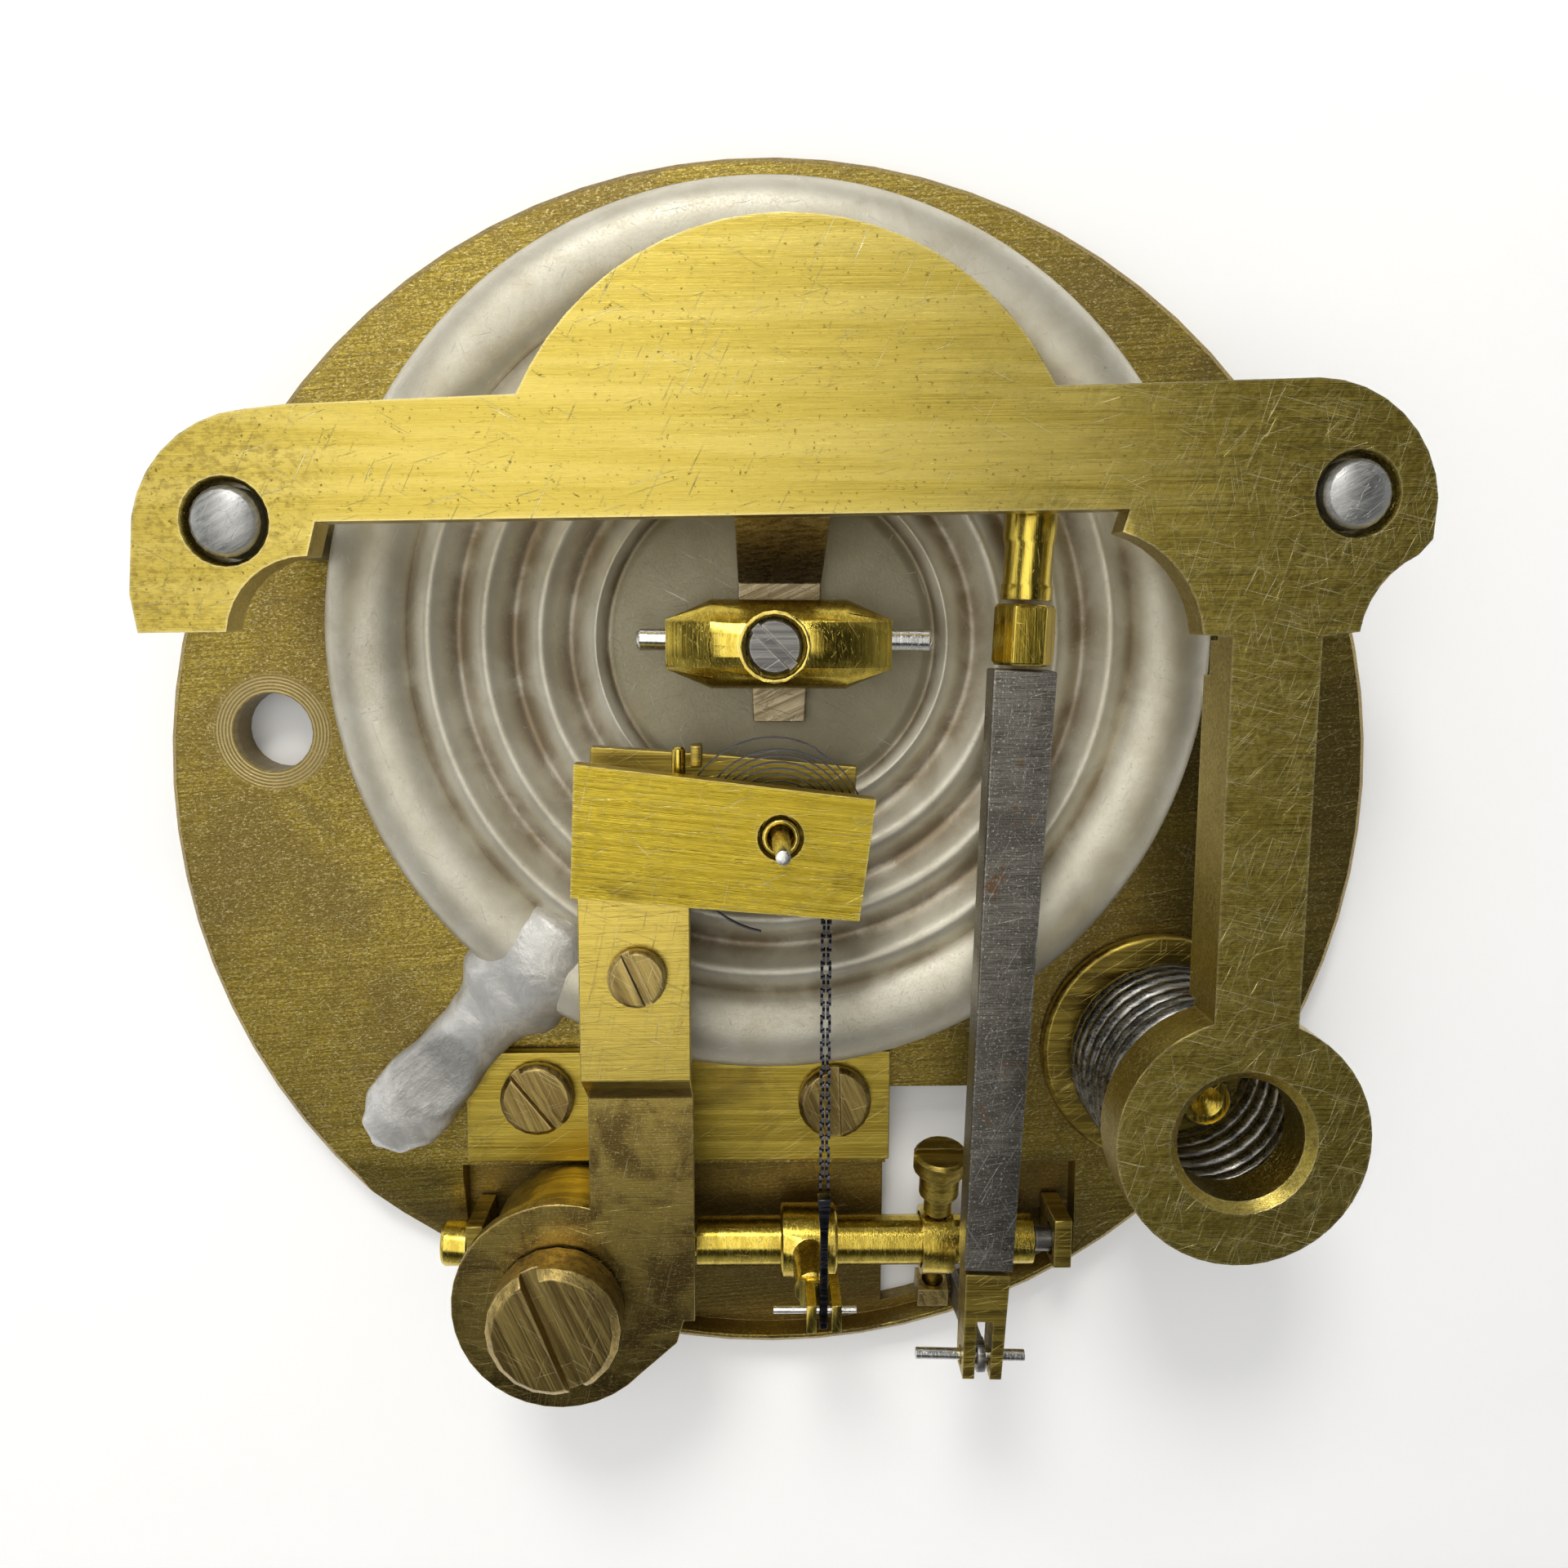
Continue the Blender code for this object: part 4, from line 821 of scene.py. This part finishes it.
def dress_all():
    """Give every CAD node that stays visible its metal; returns those of the springs and chain."""
    lever = lever_brass()
    cock = worn_metal("cock_brass", light=(0.80, 0.60, 0.065), dark=(0.60, 0.44, 0.04),
                      edge=(0.94, 0.80, 0.34), roughness=0.30, brush=-6, brushing=1.4, scratch=0.5,
                      stain=0.45, speckle=0.35, wear=0.6, shift=40, fine=12.0)
    strap = bracket_brass()
    bar = worn_metal("bar_brass", **LEVER_BRASS, roughness=0.36, brush=0, brushing=0.7, scratch=0.3,
                     stain=0.4, speckle=0.4, wear=0.3, shift=80)
    bright = worn_metal("bright_brass", **LEVER_BRASS, roughness=0.20, brush=90, brushing=0.3, scratch=0.3,
                        stain=0.3, speckle=0.35, wear=0.4, shift=20, anisotropy=0.0)
    old = worn_metal("old_brass", **OLD_BRASS, roughness=0.36, brush=0, brushing=0.5, scratch=0.4,
                     stain=0.5, speckle=0.5, wear=0.5, shift=30, anisotropy=0.0)
    dark = worn_metal("dark_brass", **DARK_BRASS, roughness=0.34, brush=-66, brushing=0.5, scratch=0.5,
                      stain=0.6, speckle=0.5, wear=0.7, shift=50, anisotropy=0.0)
    arm = arm_steel()
    tongue = worn_metal("tongue_steel", light=(0.52, 0.44, 0.28), dark=(0.22, 0.17, 0.10),
                        edge=(0.70, 0.62, 0.44), roughness=0.34, brush=24, brushing=0.7, scratch=0.7,
                        stain=0.5, speckle=0.4, wear=0.4, anisotropy=0.0, shift=90, fine=12.0)
    steel = worn_metal("filed_steel", **GREY_STEEL, roughness=0.36, brush=0, brushing=0.5, scratch=0.4,
                       stain=0.3, speckle=0.35, wear=0.4, stain_colour=(0.20, 0.12, 0.07), anisotropy=0.0,
                       fine=13.0)
    domes = worn_metal("pin_silver", light=(0.62, 0.62, 0.60), dark=(0.42, 0.42, 0.41),
                       edge=(0.85, 0.85, 0.83), roughness=0.46, brush=30, brushing=0.4, scratch=0.4,
                       stain=0.3, speckle=0.3, wear=0.2, stain_colour=(0.20, 0.19, 0.17), anisotropy=0.0,
                       shift=15)
    spring_steel = worn_metal("spring_steel", light=(0.34, 0.33, 0.31), dark=(0.10, 0.10, 0.10),
                              edge=(0.8, 0.8, 0.78), roughness=0.30, brush=0, brushing=0.3, scratch=0.3,
                              stain=0.4, speckle=0.4, wear=0.1, anisotropy=0.0)
    polished = worn_metal("polished_steel", light=(0.86, 0.85, 0.82), dark=(0.66, 0.65, 0.62),
                          edge=(0.95, 0.95, 0.95), roughness=0.20, brush=90, brushing=0.15, scratch=0.35,
                          stain=0.15, speckle=0.2, wear=0.2, anisotropy=0.0)
    blued = worn_metal("blued_steel", light=(0.05, 0.05, 0.065), dark=(0.015, 0.015, 0.02),
                       edge=(0.32, 0.32, 0.36), roughness=0.25, brush=0, brushing=0.1, scratch=0.1,
                       stain=0.1, speckle=0.1, wear=0.2, anisotropy=0.0)
    metals = {
        lever: ["lever_plate"],
        cock: ["cock_upper_plate"],
        strap: ["cock_bracket"],
        bar: ["cover_bar"],
        bright: ["arm_ferrule", "arm_hex", "socket_barrel", "arbor", "chain_arm", "regulating_collar",
                 "pivot_screw_left", "hairspring_collet", "stud_pin", "pivot_bush", "spring_post"],
        old: ["cock_lower_plate", "cock_spacer", "hairspring_stud", "socket_stud", "spring_seat",
              "arm_clevis", "arbor_post_left", "arbor_post_right", "chain_drum", "regulating_screw",
              "cock_pillar", "arm_block"],
        dark: ["bar_screw_left", "bar_screw_right", "cock_fixing_screw", "cock_plate_screw", "regulating_nut",
               "capsule_nut"],
        arm: ["compensating_arm"],
        tongue: ["steel_tongue"],
        domes: ["fulcrum_pin_left", "fulcrum_pin_right"],
        tipped_pipe(): ["pointer_arbor"],
        steel: ["link", "socket_screw", "pivot_screw_right"],
        polished: ["socket_pin_left", "socket_pin_right", "clevis_pin", "fork_pin"],
        blued: ["chain_hook"],
    }
    for metal, nodes in metals.items():
        for node in nodes:
            dress(node, metal)
    dress("base_plate", base_brass(), 0.12)
    return spring_steel, blued


def aim(obj, target):
    """Turn a light so that it faces a target, in metres."""
    direction = Vector(target) - obj.location
    obj.rotation_euler = direction.to_track_quat("-Z", "Y").to_euler()


def softbox(name, place, target, size, radiance, colour=(1, 1, 1)):
    """Area light; place, target and size in millimetres, radiance as its face looks."""
    data = bpy.data.lights.new(name, "AREA")
    data.shape = "RECTANGLE"
    data.size = size[0] * MM
    data.size_y = size[1] * MM
    data.energy = radiance * math.pi * data.size * data.size_y
    data.color = colour
    light = bpy.data.objects.new(name, data)
    light.location = Vector(place) * MM
    aim(light, Vector(target) * MM)
    bpy.context.scene.collection.objects.link(light)
    return light


def make_lights(floor):
    """Graded surroundings, three soft lights, and a wash that lights the floor alone."""
    world = bpy.data.worlds.new("studio")
    bpy.context.scene.world = world
    world.use_nodes = True
    tree = world.node_tree
    back = tree.nodes["Background"]
    back.inputs["Color"].default_value = (0.97, 0.98, 1.0, 1)
    place = tree.nodes.new("ShaderNodeTexCoord")
    parts = tree.nodes.new("ShaderNodeSeparateXYZ")
    ramp = tree.nodes.new("ShaderNodeMapRange")
    ramp.interpolation_type = "SMOOTHSTEP"
    for label, number in (("From Min", 0.25), ("From Max", 0.75),
                          ("To Min", WALL_LIGHT), ("To Max", CEILING_LIGHT)):
        ramp.inputs[label].default_value = number
    tree.links.new(place.outputs["Generated"], parts.inputs[0])
    tree.links.new(parts.outputs["Z"], ramp.inputs["Value"])
    tree.links.new(ramp.outputs["Result"], back.inputs["Strength"])
    softbox("sheen", (-105, 65, 400), (-105, 65, 0), (310, 460), 1.6, WARM_WHITE)
    softbox("back", (-70, 330, 320), (0, 10, 10), (130, 110), 13.0, (1.0, 0.985, 0.95))
    softbox("left", (-420, 40, 150), (0, 0, 10), (260, 160), 0.8)
    wash = softbox("wash", (0, 0, 900), (0, 0, 0), (3000, 3000), 0.52)
    only_floor = bpy.data.collections.new("floor_light")
    only_floor.objects.link(floor)
    wash.light_linking.receiver_collection = only_floor


def make_floor(material):
    """Wide square floor at the height of the plate's underside."""
    low = CAD_BOX[0][2] / MM
    bm = bmesh.new()
    corners = []
    for x, y in ((-1, -1), (1, -1), (1, 1), (-1, 1)):
        corners.append(bm.verts.new((x * FLOOR_HALF, y * FLOOR_HALF, low)))
    bm.faces.new(corners)
    floor = piece("floor", bm, material, None)
    return floor


def make_camera():
    """Camera above the dial side, tipped a little."""
    data = bpy.data.cameras.new("camera")
    data.lens = 30.45
    data.sensor_width = 36.0
    data.clip_start = 0.005
    data.clip_end = 10.0
    camera = bpy.data.objects.new("camera", data)
    bpy.context.scene.collection.objects.link(camera)
    ahead = Vector(CAMERA_AHEAD).normalized()
    right = ahead.cross(Vector(CAMERA_UP)).normalized()
    up = right.cross(ahead)
    turn = Matrix((right, up, -ahead)).transposed()
    camera.matrix_world = Matrix.Translation(CAMERA_PLACE) @ turn.to_4x4()
    bpy.context.scene.camera = camera


def main():
    make_camera()
    make_lights(make_floor(plain_floor()))
    bpy.context.scene.view_settings.view_transform = "Standard"
    spring_steel, blued = dress_all()
    make_capsule(nickel_silver())
    make_tail(solder())
    make_main_spring(spring_steel)
    make_hairspring(blued)
    make_chain(blued)


main()
